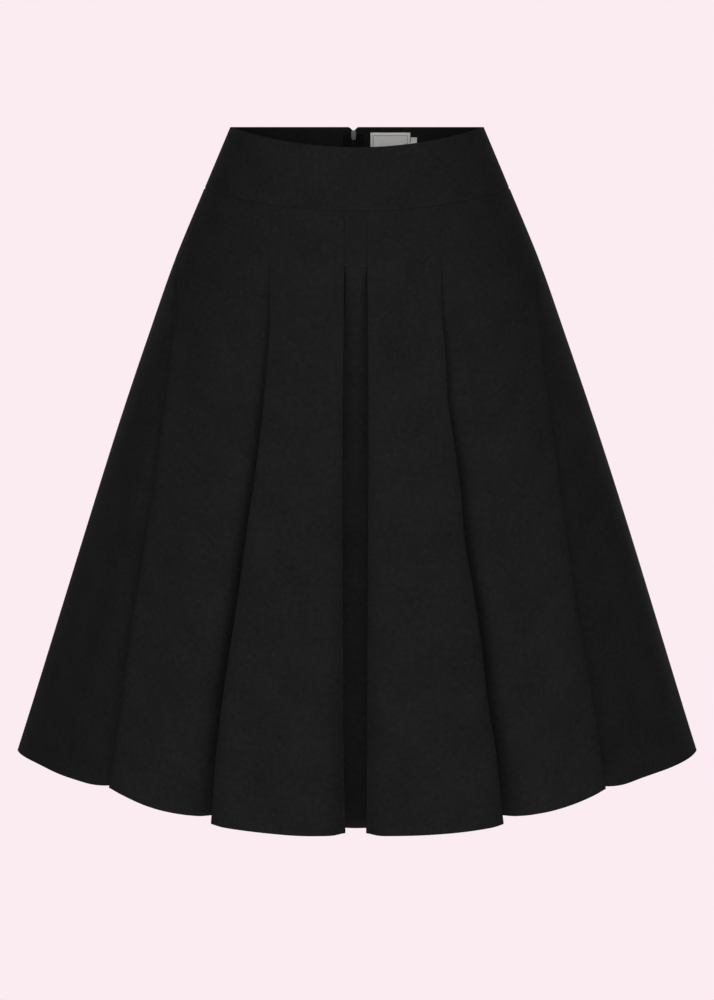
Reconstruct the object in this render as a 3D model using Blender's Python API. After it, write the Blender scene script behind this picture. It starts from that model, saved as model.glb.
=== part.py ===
"""Pleated circle skirt on a wide shaped waistband, worn by nobody and filled out.

Metres, +Z up, the front faces -Y.  The origin is the middle of the waist opening, level with the
back's top edge, where the wearer holds the skirt.

The skirt hangs from the waistband seam.  Every level below the seam is one closed ring: a round
base line, with the cloth set in from it and laid over itself in Z folds at the pleats.  A place on a
ring is (along, out): the distance along the base line from the centre of the front or back towards
the side, and the distance out from it.  One quarter is worked out and mirrored to the other three.
"""

import math

import bmesh
import bpy
import numpy as np

# Cloth and seams
CLOTH = 0.0012
PLY = 0.0017  # from one layer of a stitched pleat to the next
BAND_CLOTH = 0.0024
BAND_INSET = 0.0009  # the band's middle, in from the base line
SEAM_GAP = 0.0003
BAND_SEAM_GAP = 0.0004  # along the middle of the cloth, so that the walls' slanting edges clear

# Waistband
WAIST_HALF_WIDTH = 0.127
WAIST_HALF_DEPTH = 0.095
BAND_DROP = 0.061
FRONT_DIP = 0.0194  # the front edge and front seam sink this far below the sides
BAND_STEPS = 17
BAND_LEVELS = (0.0, 0.12, 0.5, 1.0)

# Skirt, as shares of its length from the waistband seam to the hem
SKIRT_LENGTH = 0.6045
RISE_PER_INSET = 0.25  # what is set in at the hem is cut this much shorter
LET_DOWN = (
    # share of a quarter's hem from the centre, cut longer by
    (0.00, 0.0000),
    (0.32, 0.0005),
    (0.47, 0.0010),
    (0.53, 0.0028),
    (0.58, 0.0062),
    (0.64, 0.0072),
    (0.71, 0.0044),
    (0.85, 0.0008),
    (1.00, 0.0000),
)
LEVELS = (0.0, 0.06, 0.12, 0.19, 0.30, 0.45, 0.62, 0.80, 1.0)
GIRTHS = (
    # share, half width, half depth, roundness of the base line
    (0.00, 0.1526, 0.1120, 2.00),
    (0.13, 0.1830, 0.1325, 2.00),
    (0.27, 0.2116, 0.1496, 1.98),
    (1.00, 0.3474, 0.2380, 1.90),
)
RING_SAMPLES = 400

# Pleats of one quarter, from the centre out.  An edge keeps still below its release and then
# swings to its place at the hem.
EDGE_SWING = 1.4
PLEATS = {
    # edge from the centre at the seam, release and hem; share where the stitching ends; depth of
    # the cloth behind the edge at the hem; exponents of the panel that comes out from behind it
    "inner": dict(seam=0.082, release=0.0853, hem=0.142, ends=0.098, depth=0.041, sweep=1, ease=2),
    "outer": dict(seam=0.146, release=0.176, hem=0.2435, ends=0.126, depth=0.036, sweep=2, ease=1),
}
CENTRE_EDGE = 0.0115  # half the slot of the inverted pleat at the centre front
CENTRE_ENDS = 0.092
CENTRE_EDGE_INSET = 0.016
CENTRE_UNDERLAY_INSET = 0.043
CENTRE_EASE = 4
PLY_WIDTH = (0.024, 0.042)  # the folded-under layer at the seam and at the hem
EDGE_RADIUS = (PLY / 2, 0.003)
INNER_RADIUS = (PLY / 2, 0.006)
SEAM_STEP = 0.0021  # from a stitched pleat's edge to where the next panel is level with it
STEP_FADES = 0.12  # share of the opening over which that step goes
ARC_STEPS = 4
PLY_STEPS = 2
PANEL_STEPS = 5

# Zip, down the centre back seam from just below the notch in the top edge
CENTRE_BACK_X = -0.0035
ZIP_HALF_SLOT = 0.0008
ZIP_SHARE = 0.19  # share of the skirt's length where the zip ends
NOTCH_DEPTH = 0.0042
NOTCH_HALF_WIDTH = 0.0045
TAPE_TOP = 0.007  # below the top edge
TAPE_WIDTH = 0.011
TAPE_CLOTH = 0.001
COIL_TOP = 0.0138
STRIP_GAP = 0.0005  # from a cloth piece's face to a strip laid on it
SEAM_REACH = 0.004  # a strip leaves the band's face this far above the waistband seam
STRIP_MARGIN = 0.03  # of the cloth beside a strip that its shape is read from
STRIP_STEP = 0.006
COIL_HALF_GAP = 0.0002
COIL_WIDTH = 0.0018
COIL_THICKNESS = 0.0014

# Slider and pull tab: places down and out from the band's top edge at the centre back, along the
# band's slope
SLIDER_WIDTH = 0.0052
SLIDER_THICKNESS = 0.0022
SLIDER_DOWN = (0.0036, 0.0124)
NECK_WIDTH = 0.001
NECK_DOWN = (0.0064, 0.0104)
BAIL_WIDTH = 0.0011
BAIL_DOWN = (0.0061, 0.0107)
BAIL_OUT = (0.0006, 0.004)
BAIL_WALL = 0.0008
BAR_RADIUS = 0.00045
BAR_PLAY = 0.0003
PULL_THICKNESS = 0.001
PULL_LENGTH = 0.0185
PULL_HALF_WIDTHS = (0.0018, 0.0029)  # at the bar and at the round tip
PULL_WINDOW_HALF_WIDTH = 0.0009
PULL_WINDOW_LENGTH = 0.0043

# Woven label and size tab inside the back waistband, right of the zip: places across from the
# middle of the back and down from the top edge
TAG_CLOTH = 0.001
TAGS = {
    # left, right, top, bottom
    "label": (0.0140, 0.0562, 0.0055, 0.0290),
    "size_tab": (0.0568, 0.0632, 0.0100, 0.0190),
}

SIDES = {"left": -1, "right": 1}

LOOKS = {
    # colour, roughness, metallic
    "skirt_cloth": ((0.0105, 0.0105, 0.0112), 0.85, 0.0),
    "band_cloth": ((0.0105, 0.0105, 0.0112), 0.85, 0.0),
    "zip_tape": ((0.008, 0.008, 0.009), 0.8, 0.0),
    "zip_coil": ((0.02, 0.02, 0.022), 0.45, 0.0),
    "zip_metal": ((0.12, 0.12, 0.125), 0.4, 0.9),
    "label_satin": ((0.62, 0.62, 0.60), 0.55, 0.0),
}


# ---------------------------------------------------------------- numbers along the length


def mix(start, end, share):
    return start + (end - start) * share


def smooth_row(rows, share):
    """The table's other columns at this share, on a smooth curve through its rows."""
    table = np.array(rows)
    shares, values = table[:, 0], table[:, 1:]
    slopes = np.gradient(values, shares, axis=0)
    k = int(np.clip(np.searchsorted(shares, share, side="right") - 1, 0, len(shares) - 2))
    span = shares[k + 1] - shares[k]
    v = (share - shares[k]) / span
    return (
        (1 + 2 * v) * (1 - v) ** 2 * values[k]
        + v * (1 - v) ** 2 * span * slopes[k]
        + v * v * (3 - 2 * v) * values[k + 1]
        + v * v * (v - 1) * span * slopes[k + 1]
    )


def opened(share, ends):
    """How far a pleat that is stitched down to the share `ends` has opened, from 0 to 1."""
    return max(0.0, share - ends) / (1 - ends)


# ---------------------------------------------------------------- the base line of a level


class BaseLine:
    """A quarter of a level's base line, from the centre (0, half depth) to the side (half width, 0)."""

    def __init__(self, half_width, half_depth, roundness):
        angle = np.linspace(math.pi / 2, 0, RING_SAMPLES)
        self.x = half_width * np.cos(angle).clip(0) ** (2 / roundness)
        self.y = half_depth * np.sin(angle).clip(0) ** (2 / roundness)
        step = np.hypot(np.diff(self.x), np.diff(self.y))
        self.along = np.concatenate([[0], np.cumsum(step)])
        out_x, out_y = -np.gradient(self.y), np.gradient(self.x)
        size = np.hypot(out_x, out_y)
        self.out_x, self.out_y = out_x / size, out_y / size
        self.out_x[0], self.out_y[0] = 0, 1
        self.out_x[-1], self.out_y[-1] = 1, 0
        self.length = self.along[-1]

    def along_at(self, x):
        return float(np.interp(x, self.x, self.along))

    def place(self, path):
        """The (x, y) of each (along, out) of a path, past the centre too."""
        along, out = np.array(path).T
        table = (self.x, self.y, self.out_x, self.out_y)
        x, y, out_x, out_y = [np.interp(abs(along), self.along, column) for column in table]
        return np.stack([np.sign(along) * (x + out * out_x), y + out * out_y], axis=1)


def base_line(share):
    return BaseLine(*smooth_row(GIRTHS, share))


def seam_height(x, y_sign):
    """Height of the waistband seam over a place on its base line."""
    dip = FRONT_DIP * (1 - (x / GIRTHS[0][1]) ** 2) if y_sign < 0 else 0.0 * x
    return -BAND_DROP - np.clip(dip, 0, None)


# ---------------------------------------------------------------- the path of a quarter


def z_fold(edge, out, under, width, edge_radius, inner_radius, lead=0.0):
    """One pleat seen end-on, from the face layer round its edge, back along the middle layer and
    round the inner fold to the under layer, all in (along, out), the edge facing the side."""
    outer = (edge - edge_radius, out - edge_radius)
    inner = (edge - width + inner_radius, under + inner_radius)
    run, drop = outer[0] - inner[0], outer[1] - inner[1]
    tilt = math.atan2(drop, run) - math.asin((edge_radius + inner_radius) / math.hypot(run, drop))
    quarter_turn = math.pi / 2
    first = [
        (outer[0] + edge_radius * math.cos(a), outer[1] + edge_radius * math.sin(a))
        for a in np.linspace(quarter_turn - lead, tilt - quarter_turn, ARC_STEPS + 1)
    ]
    second = [
        (inner[0] + inner_radius * math.cos(a), inner[1] + inner_radius * math.sin(a))
        for a in np.linspace(tilt + quarter_turn, 3 * quarter_turn, ARC_STEPS + 1)
    ]
    middle = [
        (mix(first[-1][0], second[0][0], k / PLY_STEPS), mix(first[-1][1], second[0][1], k / PLY_STEPS))
        for k in range(1, PLY_STEPS)
    ]
    beneath = [(mix(second[-1][0], edge, k / PLY_STEPS), under) for k in range(1, PLY_STEPS)]
    return first + middle + second + beneath


def panel(start, end, step, inset, sweep, ease):
    """The face of a panel from behind one edge to where the next one begins to turn.  It rises by
    `step` close to its start, and by `inset` over its whole width."""
    places = [start] + [mix(start + SEAM_STEP, end, k / PANEL_STEPS) for k in range(PANEL_STEPS)]
    share = [(p - start) / (end - start) for p in places]
    steps = [step] + [0] * PANEL_STEPS
    return [(p, -rise - inset * (1 - v**sweep) ** ease) for p, rise, v in zip(places, steps, share)]


def closed_step(open_share):
    """How far the layers of a pleat lie below its edge where it is stitched down."""
    return 2 * PLY * max(0.0, 1 - open_share / STEP_FADES)


def quarter_path(share, line, front):
    """The ring's path from the centre to the side in one quarter, in (along, out)."""
    width = mix(*PLY_WIDTH, share)
    path = []
    start, step, inset, sweep, ease = 0.0, 0.0, 0.0, 1, 1
    if front:
        open_share = opened(share, CENTRE_ENDS)
        edge_inset = CENTRE_EDGE_INSET * open_share
        underlay = CENTRE_UNDERLAY_INSET * open_share
        under = underlay + closed_step(open_share)
        radius = mix(*EDGE_RADIUS, open_share)
        centre_edge = line.along_at(CENTRE_EDGE)
        lead = CENTRE_EASE * edge_inset / line.along_at(PLEATS["inner"]["hem"])
        fold = z_fold(0, -edge_inset, -under, width, radius, mix(*INNER_RADIUS, open_share), -lead)
        path = [(0, -underlay), (centre_edge - SEAM_STEP, -underlay)]
        path += [(centre_edge - a, out) for a, out in reversed(fold)]
        start, inset, ease = centre_edge + radius, edge_inset, CENTRE_EASE
    for name, pleat in PLEATS.items():
        open_share = opened(share, pleat["ends"])
        closed_share = min(share / pleat["ends"], 1)
        x = mix(pleat["seam"], pleat["release"], closed_share)
        x = mix(x, pleat["hem"], open_share**EDGE_SWING)
        edge = line.along_at(x)
        radius = mix(*EDGE_RADIUS, open_share)
        face = panel(start, edge - radius, step, inset, sweep, ease)
        if name == "inner":
            face = face[1:] if front else face[:1] + face[2:]
        path += face
        inset = pleat["depth"] * open_share
        step = closed_step(open_share)
        inner_radius = mix(*INNER_RADIUS, open_share)
        path += z_fold(edge, 0, -inset - step, width, radius, inner_radius)
        start, sweep, ease = edge, pleat["sweep"], pleat["ease"]
    return path + panel(start, line.length, step, inset, sweep, ease) + [(line.length, 0.0)]


def quarter_rings(front):
    """Places of a quarter's path at every level, with the cloth's length kept down each line."""
    y_sign = -1 if front else 1
    paths = [(share, base_line(share)) for share in LEVELS]
    paths = [(share, line, quarter_path(share, line, front)) for share, line in paths]
    flat = [line.place(path) for _, line, path in paths]
    along, out = np.array(paths[-1][2]).T
    longer = np.array([smooth_row(LET_DOWN, a / paths[-1][1].length)[0] for a in along])
    length = SKIRT_LENGTH + RISE_PER_INSET * out + longer
    _, seam, seam_path = paths[0]
    seam_x = seam.place([(a, 0) for a, _ in seam_path])[:, 0]
    height = seam_height(seam_x, y_sign) - BAND_SEAM_GAP / 2
    rings = []
    for k, places in enumerate(flat):
        if k:
            moved = np.hypot(*(places - flat[k - 1]).T)
            step = length * (LEVELS[k] - LEVELS[k - 1])
            height = height - np.sqrt((step**2 - moved**2).clip(0))
        rings.append(np.column_stack([places[:, 0], y_sign * places[:, 1], height]))
    return rings


# ---------------------------------------------------------------- walls of cloth


def wall_normals(ring, first=None, last=None):
    """Level outward directions of a ring's corners, lengthened at a bend to keep the wall's
    thickness.  The ring runs anticlockwise from above, so that outwards is to its right."""
    along = np.diff(ring[:, :2], axis=0)
    along /= np.linalg.norm(along, axis=1)[:, None]
    side = np.stack([along[:, 1], -along[:, 0]], axis=1)
    both = np.vstack([side[:1], side[:-1] + side[1:], side[-1:]])
    both /= np.linalg.norm(both, axis=1)[:, None]
    bend = np.concatenate([[1], np.einsum("ij,ij->i", both[1:-1], side[1:]), [1]])
    both /= bend[:, None]
    if first is not None:
        both[0] = first
    if last is not None:
        both[-1] = last
    return both


def wall(name, rings, thickness, look, first=None, last=None):
    """A closed wall of cloth over rings from top to bottom, each from one edge of the piece to the
    other.  first and last are the directions in which its two upright edges are thick."""
    mesh = bmesh.new()
    sheets = []
    for out in (thickness / 2, -thickness / 2):
        sheet = []
        for ring in rings:
            normals = wall_normals(ring, first, last)
            moved = ring.copy()
            moved[:, :2] += normals * out
            sheet.append([mesh.verts.new(p) for p in moved])
        sheets.append(sheet)
    outer, inner = sheets
    rows, columns = len(rings), len(rings[0])
    for r in range(rows - 1):
        for c in range(columns - 1):
            mesh.faces.new((outer[r][c], outer[r + 1][c], outer[r + 1][c + 1], outer[r][c + 1]))
            mesh.faces.new((inner[r][c], inner[r][c + 1], inner[r + 1][c + 1], inner[r + 1][c]))
        for c, flip in ((0, 1), (columns - 1, -1)):
            edge = (outer[r][c], inner[r][c], inner[r + 1][c], outer[r + 1][c])
            mesh.faces.new(edge[::flip])
    for c in range(columns - 1):
        for r, flip in ((0, -1), (rows - 1, 1)):
            edge = (outer[r][c], inner[r][c], inner[r][c + 1], outer[r][c + 1])
            mesh.faces.new(edge[::flip])
    bmesh.ops.recalc_face_normals(mesh, faces=mesh.faces)
    return finish_mesh(name, mesh, look)


def finish_mesh(name, mesh, look):
    data = bpy.data.meshes.new(name)
    mesh.to_mesh(data)
    mesh.free()
    data.shade_smooth()
    data.set_sharp_from_angle(angle=math.radians(40))
    data.materials.append(material(look))
    made = bpy.data.objects.new(name, data)
    bpy.context.scene.collection.objects.link(made)
    return made


def material(look):
    found = bpy.data.materials.get(look)
    if found:
        return found
    colour, roughness, metallic = LOOKS[look]
    made = bpy.data.materials.new(look)
    made.use_nodes = True
    shader = made.node_tree.nodes["Principled BSDF"]
    shader.inputs["Base Color"].default_value = (*colour, 1)
    shader.inputs["Roughness"].default_value = roughness
    shader.inputs["Metallic"].default_value = metallic
    return made


# ---------------------------------------------------------------- the cloth pieces


def mirrored(rings, x_sign):
    """Rings of the quarter on that side, running anticlockwise from above."""
    turned = [ring * (x_sign, 1, 1) for ring in rings]
    front = rings[0][0, 1] < 0
    return turned if (x_sign > 0) == front else [ring[::-1] for ring in turned]


def side_edges(rings, y_sign):
    """The quarter with its last line moved to half a seam gap from the side seam's plane."""
    for ring in rings:
        ring[-1, 1] = y_sign * SEAM_GAP / 2
    return rings


def centre_back_edge(rings, half_slots, x_sign):
    """The quarter with its first line moved to the edge of the slot at the centre back."""
    for ring, half_slot in zip(rings, half_slots):
        ring[0, 0] = half_slot + x_sign * CENTRE_BACK_X
    return rings


def both_halves(rings):
    left, right = mirrored(rings, -1), mirrored(rings, 1)
    return [np.vstack([a, b[1:]]) for a, b in zip(left, right)]


def back_wall(name, rings, x_sign, **settings):
    """A piece of the back on one side, its upright edges squared to the centre and side seams."""
    ends = dict(first=(1, 0), last=(0, 1)) if x_sign > 0 else dict(first=(0, 1), last=(-1, 0))
    wall(name, mirrored(rings, x_sign), **ends, **settings)


def skirt_pieces():
    """The front, and the back in two halves.  Returns the halves' rings by side."""
    settings = dict(thickness=CLOTH, look="skirt_cloth")
    front = both_halves(side_edges(quarter_rings(True), -1))
    wall("skirt_front", front, first=(-1, 0), last=(1, 0), **settings)
    slots = [ZIP_HALF_SLOT if share <= ZIP_SHARE else SEAM_GAP / 2 for share in LEVELS]
    halves = {}
    for side, x_sign in SIDES.items():
        back = side_edges(quarter_rings(False), 1)
        centre_back_edge(back, slots, x_sign)
        back_wall(f"skirt_back_{side}", back, x_sign, **settings)
        halves[side] = mirrored(back, x_sign)
    return halves


# ---------------------------------------------------------------- the waistband


def band_ends(alongs, y_sign):
    """The band's top ring and seam ring in one quarter, through these places round the top."""
    waist = BaseLine(WAIST_HALF_WIDTH, WAIST_HALF_DEPTH, GIRTHS[0][3])
    seam = base_line(0)
    top = waist.place([(a, -BAND_INSET) for a in alongs])
    shares = alongs / waist.length
    low = seam.place([(share * seam.length, -BAND_INSET) for share in shares])
    height = seam_height(seam.place([(share * seam.length, 0) for share in shares])[:, 0], y_sign)
    top_ring = np.column_stack([top[:, 0], y_sign * top[:, 1], height + BAND_DROP])
    low_ring = np.column_stack([low[:, 0], y_sign * low[:, 1], height + BAND_SEAM_GAP / 2])
    return top_ring, low_ring


def band_rings(alongs, y_sign, notch_depth=0.0):
    top, low = band_ends(alongs, y_sign)
    rings = [mix(top, low, level) for level in BAND_LEVELS]
    rings[0][0, 2] -= notch_depth
    return side_edges(rings, y_sign)


def band_pieces():
    """The front, and the back in two halves.  Returns the halves' rings by side."""
    settings = dict(thickness=BAND_CLOTH, look="band_cloth")
    length = BaseLine(WAIST_HALF_WIDTH, WAIST_HALF_DEPTH, GIRTHS[0][3]).length
    alongs = np.linspace(0, length, BAND_STEPS)
    front = both_halves(band_rings(alongs, -1))
    wall("waistband_front", front, first=(-1, 0), last=(1, 0), **settings)
    halves = {}
    for side, x_sign in SIDES.items():
        notch_end = NOTCH_HALF_WIDTH + x_sign * CENTRE_BACK_X
        back = band_rings(np.insert(alongs, 1, notch_end), 1, NOTCH_DEPTH)
        centre_back_edge(back, [ZIP_HALF_SLOT] * len(back), x_sign)
        back_wall(f"waistband_back_{side}", back, x_sign, **settings)
        halves[side] = mirrored(back, x_sign)
    return halves


# ---------------------------------------------------------------- what lies inside the back


def strip(rings, thickness, layer, first, last):
    """Rings of a strip that lies on the inner face of a back piece, between two places across the
    back.  `layer` is the distance from the face to the strip's middle."""
    made = []
    across = np.linspace(last, first, 2 + round((last - first) / STRIP_STEP))
    for ring in rings:
        moved = ring.copy()
        moved[:, :2] -= wall_normals(ring) * (thickness / 2 + layer)
        near = moved[abs(moved[:, 0]) < max(-first, last) + STRIP_MARGIN]
        x, y, height = near[np.argsort(near[:, 0])].T
        made.append(np.column_stack([across, np.interp(across, x, y), np.interp(across, x, height)]))
    return made


def band_stretch(rings, downs):
    """Rings of a band piece at these distances down from its top edge."""
    top, low = rings[1], rings[-1]
    levels = [(down / BAND_DROP - BAND_LEVELS[1]) / (1 - BAND_LEVELS[1]) for down in downs]
    return [mix(top, low, level) for level in levels]


def zip_strips(band_halves, skirt_halves):
    """Tape and coil down both sides of the slot, over the waistband seam."""
    layers = {
        # thickness, distance from the cloth's face, near and far edge, top
        "zip_tape": (TAPE_CLOTH, STRIP_GAP, ZIP_HALF_SLOT, TAPE_WIDTH, TAPE_TOP),
        "zip_coil": (COIL_THICKNESS, 2 * STRIP_GAP + TAPE_CLOTH, COIL_HALF_GAP, COIL_WIDTH, COIL_TOP),
    }
    covered = sum(share <= ZIP_SHARE for share in LEVELS)
    for side, x_sign in SIDES.items():
        for look, (thickness, gap, near, far, top) in layers.items():
            first, last = sorted([CENTRE_BACK_X + x_sign * near, CENTRE_BACK_X + x_sign * far])
            layer = gap + thickness / 2
            band = band_stretch(band_halves[side], (top, BAND_DROP / 2, BAND_DROP - SEAM_REACH))
            rings = strip(band, BAND_CLOTH, layer, first, last)
            rings += strip(skirt_halves[side][1:covered], CLOTH, layer, first, last)
            wall(f"{look}_{side}", rings, thickness, look)


def tags(band_half):
    for name, (left, right, top, bottom) in TAGS.items():
        rings = band_stretch(band_half, (top, bottom))
        rings = strip(rings, BAND_CLOTH, STRIP_GAP + TAG_CLOTH / 2, left, right)
        wall(name, rings, TAG_CLOTH, "label_satin")


# ---------------------------------------------------------------- the zip's slider and pull


def box(name, half_width, out, down):
    """A box across the centre back, between two distances out from and down the band's slope."""
    mesh = bmesh.new()
    bmesh.ops.create_cube(mesh, size=1)
    for vertex in mesh.verts:
        vertex.co.x *= 2 * half_width
        vertex.co.y = out[0] if vertex.co.y < 0 else out[1]
        vertex.co.z = -down[1] if vertex.co.z < 0 else -down[0]
    return finish_mesh(name, mesh, "zip_metal")


def cut_or_join(kept, tool, operation):
    step = kept.modifiers.new(tool.name, "BOOLEAN")
    step.operation = operation
    step.object = tool
    tool.hide_render = True
    tool.display_type = "WIRE"
    tool.parent = kept


def band_slope(band_half):
    """An empty on the base line at the top of the centre back, leaning back as the band does."""
    top, low = (ring[-1] for ring in (band_half[1], band_half[-1]))
    lean = (low[1] - top[1]) / (top[2] - low[2])
    frame = bpy.data.objects.new("band_slope", None)
    frame.location = (CENTRE_BACK_X, top[1] + BAND_INSET + lean * top[2], 0)
    frame.rotation_euler = (math.atan(lean), 0, 0)
    bpy.context.scene.collection.objects.link(frame)
    return frame


def zip_slider(frame):
    """The body inside the band, its neck out through the slot, and the bail that holds the pull."""
    inner_face = -BAND_INSET - BAND_CLOTH / 2
    body_face = inner_face - 2 * STRIP_GAP - TAPE_CLOTH
    body = box("zip_slider", SLIDER_WIDTH / 2, (body_face - SLIDER_THICKNESS, body_face), SLIDER_DOWN)
    overlap = SLIDER_THICKNESS / 2
    neck = box("slider_neck", NECK_WIDTH / 2, (body_face - overlap, BAIL_OUT[0] + BAIL_WALL / 2), NECK_DOWN)
    bail = box("slider_bail", BAIL_WIDTH / 2, BAIL_OUT, BAIL_DOWN)
    hole_out = (BAIL_OUT[0] + BAIL_WALL, BAIL_OUT[1] - BAIL_WALL)
    hole_down = (BAIL_DOWN[0] + BAIL_WALL, BAIL_DOWN[1] - BAIL_WALL)
    hole = box("bail_hole", BAIL_WIDTH, hole_out, hole_down)
    cut_or_join(body, neck, "UNION")
    cut_or_join(body, bail, "UNION")
    cut_or_join(body, hole, "DIFFERENCE")
    body.parent = frame


def pull_outline():
    """Half the pull's outline from its bar to its tip, as (half width, down from the bar)."""
    near, far = PULL_HALF_WIDTHS
    tip_centre = PULL_LENGTH - far
    side = [(near, 0.0), (near, PULL_WINDOW_LENGTH)]
    turns = np.linspace(0, math.pi / 2, 7)
    return side + [(far * math.cos(a), tip_centre + far * math.sin(a)) for a in turns]


def zip_pull(frame):
    """The tab outside the back, hung by a bar in the bail's eye, its origin on the bar's axis."""
    mesh = bmesh.new()
    half = pull_outline()
    window = (PULL_WINDOW_HALF_WIDTH, 0.0), (PULL_WINDOW_HALF_WIDTH, PULL_WINDOW_LENGTH)
    left = [(-x, down) for x, down in half[-2::-1]]
    notch = [(-window[0][0], 0.0), (-window[1][0], window[1][1]), window[1], window[0]]
    corners = [
        mesh.verts.new((x, -PULL_THICKNESS / 2, -down)) for x, down in half + left + notch
    ]
    face = mesh.faces.new(corners)
    grown = bmesh.ops.extrude_face_region(mesh, geom=[face])["geom"]
    moved = [item for item in grown if isinstance(item, bmesh.types.BMVert)]
    bmesh.ops.translate(mesh, verts=moved, vec=(0, PULL_THICKNESS, 0))
    bmesh.ops.recalc_face_normals(mesh, faces=mesh.faces)
    pull = finish_mesh("zip_pull", mesh, "zip_metal")
    mesh = bmesh.new()
    bmesh.ops.create_cone(
        mesh,
        cap_ends=True,
        segments=12,
        radius1=BAR_RADIUS,
        radius2=BAR_RADIUS,
        depth=2 * PULL_HALF_WIDTHS[0] - SEAM_GAP,
    )
    bar = finish_mesh("pull_bar", mesh, "zip_metal")
    bar.rotation_euler = (0, math.pi / 2, 0)
    cut_or_join(pull, bar, "UNION")
    pull.location = (0, sum(BAIL_OUT) / 2, -(BAIL_DOWN[1] - BAIL_WALL - BAR_PLAY - BAR_RADIUS))
    pull.parent = frame


def build():
    for old in list(bpy.data.objects):
        bpy.data.objects.remove(old)
    band_halves = band_pieces()
    skirt_halves = skirt_pieces()
    zip_strips(band_halves, skirt_halves)
    tags(band_halves["right"])
    frame = band_slope(band_halves["right"])
    zip_slider(frame)
    zip_pull(frame)


build()
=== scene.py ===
"""Looks of the pleated circle skirt: black suiting, invisible zip, satin label.

Every cloth piece is a thin shell on its panel's form.  Below the waistband each level of the skirt is
a ring: a round base line with the cloth set in from it and laid over itself at the pleats.  A place on
a ring is (along, out): the distance along the base line from the centre of the front or back towards
the side, and the distance out from it.
"""

import math
from functools import partial

import bmesh
import bpy
import numpy as np
from mathutils import Matrix


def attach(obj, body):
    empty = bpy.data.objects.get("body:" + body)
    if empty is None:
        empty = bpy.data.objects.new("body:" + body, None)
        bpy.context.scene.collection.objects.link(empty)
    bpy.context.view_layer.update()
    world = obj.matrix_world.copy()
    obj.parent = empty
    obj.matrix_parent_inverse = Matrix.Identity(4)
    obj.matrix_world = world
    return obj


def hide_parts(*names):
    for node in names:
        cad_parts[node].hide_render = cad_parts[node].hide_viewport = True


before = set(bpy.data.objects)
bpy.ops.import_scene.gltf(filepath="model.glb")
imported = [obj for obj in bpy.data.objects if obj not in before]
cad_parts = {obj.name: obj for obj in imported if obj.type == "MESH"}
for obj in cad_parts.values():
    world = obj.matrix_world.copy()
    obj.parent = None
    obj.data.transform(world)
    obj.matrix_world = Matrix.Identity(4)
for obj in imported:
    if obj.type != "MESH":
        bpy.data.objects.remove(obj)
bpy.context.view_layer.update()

# ---------------------------------------------------------------- sizes, in metres

# Waistband and girths, as the panels are cut
WAIST_HALF_WIDTH = 0.127
WAIST_HALF_DEPTH = 0.095
BAND_DROP = 0.061
FRONT_DIP = 0.0194
BAND_THICKNESS = 0.0019
BAND_INSET = 0.0009
SKIRT_LENGTH = 0.6045
SLANT = 0.985  # height per length of the cloth near the seam
RISE_PER_INSET = 0.25
LET_DOWN = (
    # share of a quarter's hem from the centre, cut longer by
    (0.00, 0.0000),
    (0.32, 0.0005),
    (0.47, 0.0010),
    (0.53, 0.0028),
    (0.58, 0.0062),
    (0.64, 0.0072),
    (0.71, 0.0044),
    (0.85, 0.0008),
    (1.00, 0.0000),
)
CENTRE_LET_DOWN = (
    # the same beside the centre front, added to it
    (0.00, 0.0016),
    (0.03, 0.0014),
    (0.07, 0.0004),
    (0.16, 0.0000),
)
UNDERLAY_LET_DOWN = 0.0042
GIRTHS = (
    # share of the length, half width, half depth, roundness
    (0.00, 0.1526, 0.1120, 2.00),
    (0.13, 0.1830, 0.1325, 2.00),
    (0.27, 0.2116, 0.1496, 1.98),
    (1.00, 0.3474, 0.2380, 1.90),
)

# Cloth and its edges
CLOTH = 0.0005
HEM_TURN_UP = 0.034
HEM_LAYER = 0.0008
HEM_STEP = 0.001  # in which the turned-up layer begins
SEAM_GAP = 0.0003
SEAM_ROLL = 0.0005
ROLL_WIDTH = 0.0009
ALLOWANCE = 0.011
ALLOWANCE_WAVE = 0.00025
ALLOWANCE_RISE = 0.004  # in which it climbs onto the turned-up hem
SEAM_EASE = 0.003  # past this the allowance follows the panel

# Pleats of one quarter, from the centre out.  An edge keeps still below its release and then swings
# to its place at the hem.
EDGE_SWING = 1.4
PLY = 0.0007  # from one layer of a stitched pleat to the next
PLEATS = {
    # edge from the centre at the seam, release and hem; share where the stitching ends; depth of
    # the cloth behind the edge at the hem, and the part of it made up close beside the edge there;
    # how far the edge falls back at the hem; exponents of the panel that comes out from behind it
    "inner": dict(
        seam=0.082, release=0.0853, hem=0.142, ends=0.098, depth=0.041,
        wall=0.2, fall=0.0042, sweep=1, ease=2,
    ),
    "outer": dict(
        seam=0.146, release=0.176, hem=0.2435, ends=0.126, depth=0.040,
        wall=0.5, fall=0.0015, sweep=2, ease=1,
    ),
}
CENTRE_EDGE = 0.0115
CENTRE_ENDS = 0.092
CENTRE_EDGE_INSET = 0.016
CENTRE_UNDERLAY_INSET = 0.048
CENTRE_EASE = 4
CENTRE_FALL = 0.0062
CENTRE_OPENING = 0.55
PLY_WIDTH = (0.024, 0.042)
EDGE_RADIUS = (PLY / 2, 0.0026)
INNER_RADIUS = (PLY / 2, 0.006)
SEAM_STEP = 0.00055  # from a stitched pleat's edge to where the next panel is level with it
STEP_FADES = 0.10
OPENING = 0.75  # exponent of how fast a pleat deepens below its release
WALL = 0.62  # part of that depth made up close beside the edge
WALL_REACH = 0.009
FALL_REACH = (0.007, 0.015)  # how far from a folded edge the panel falls back to it

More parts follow.
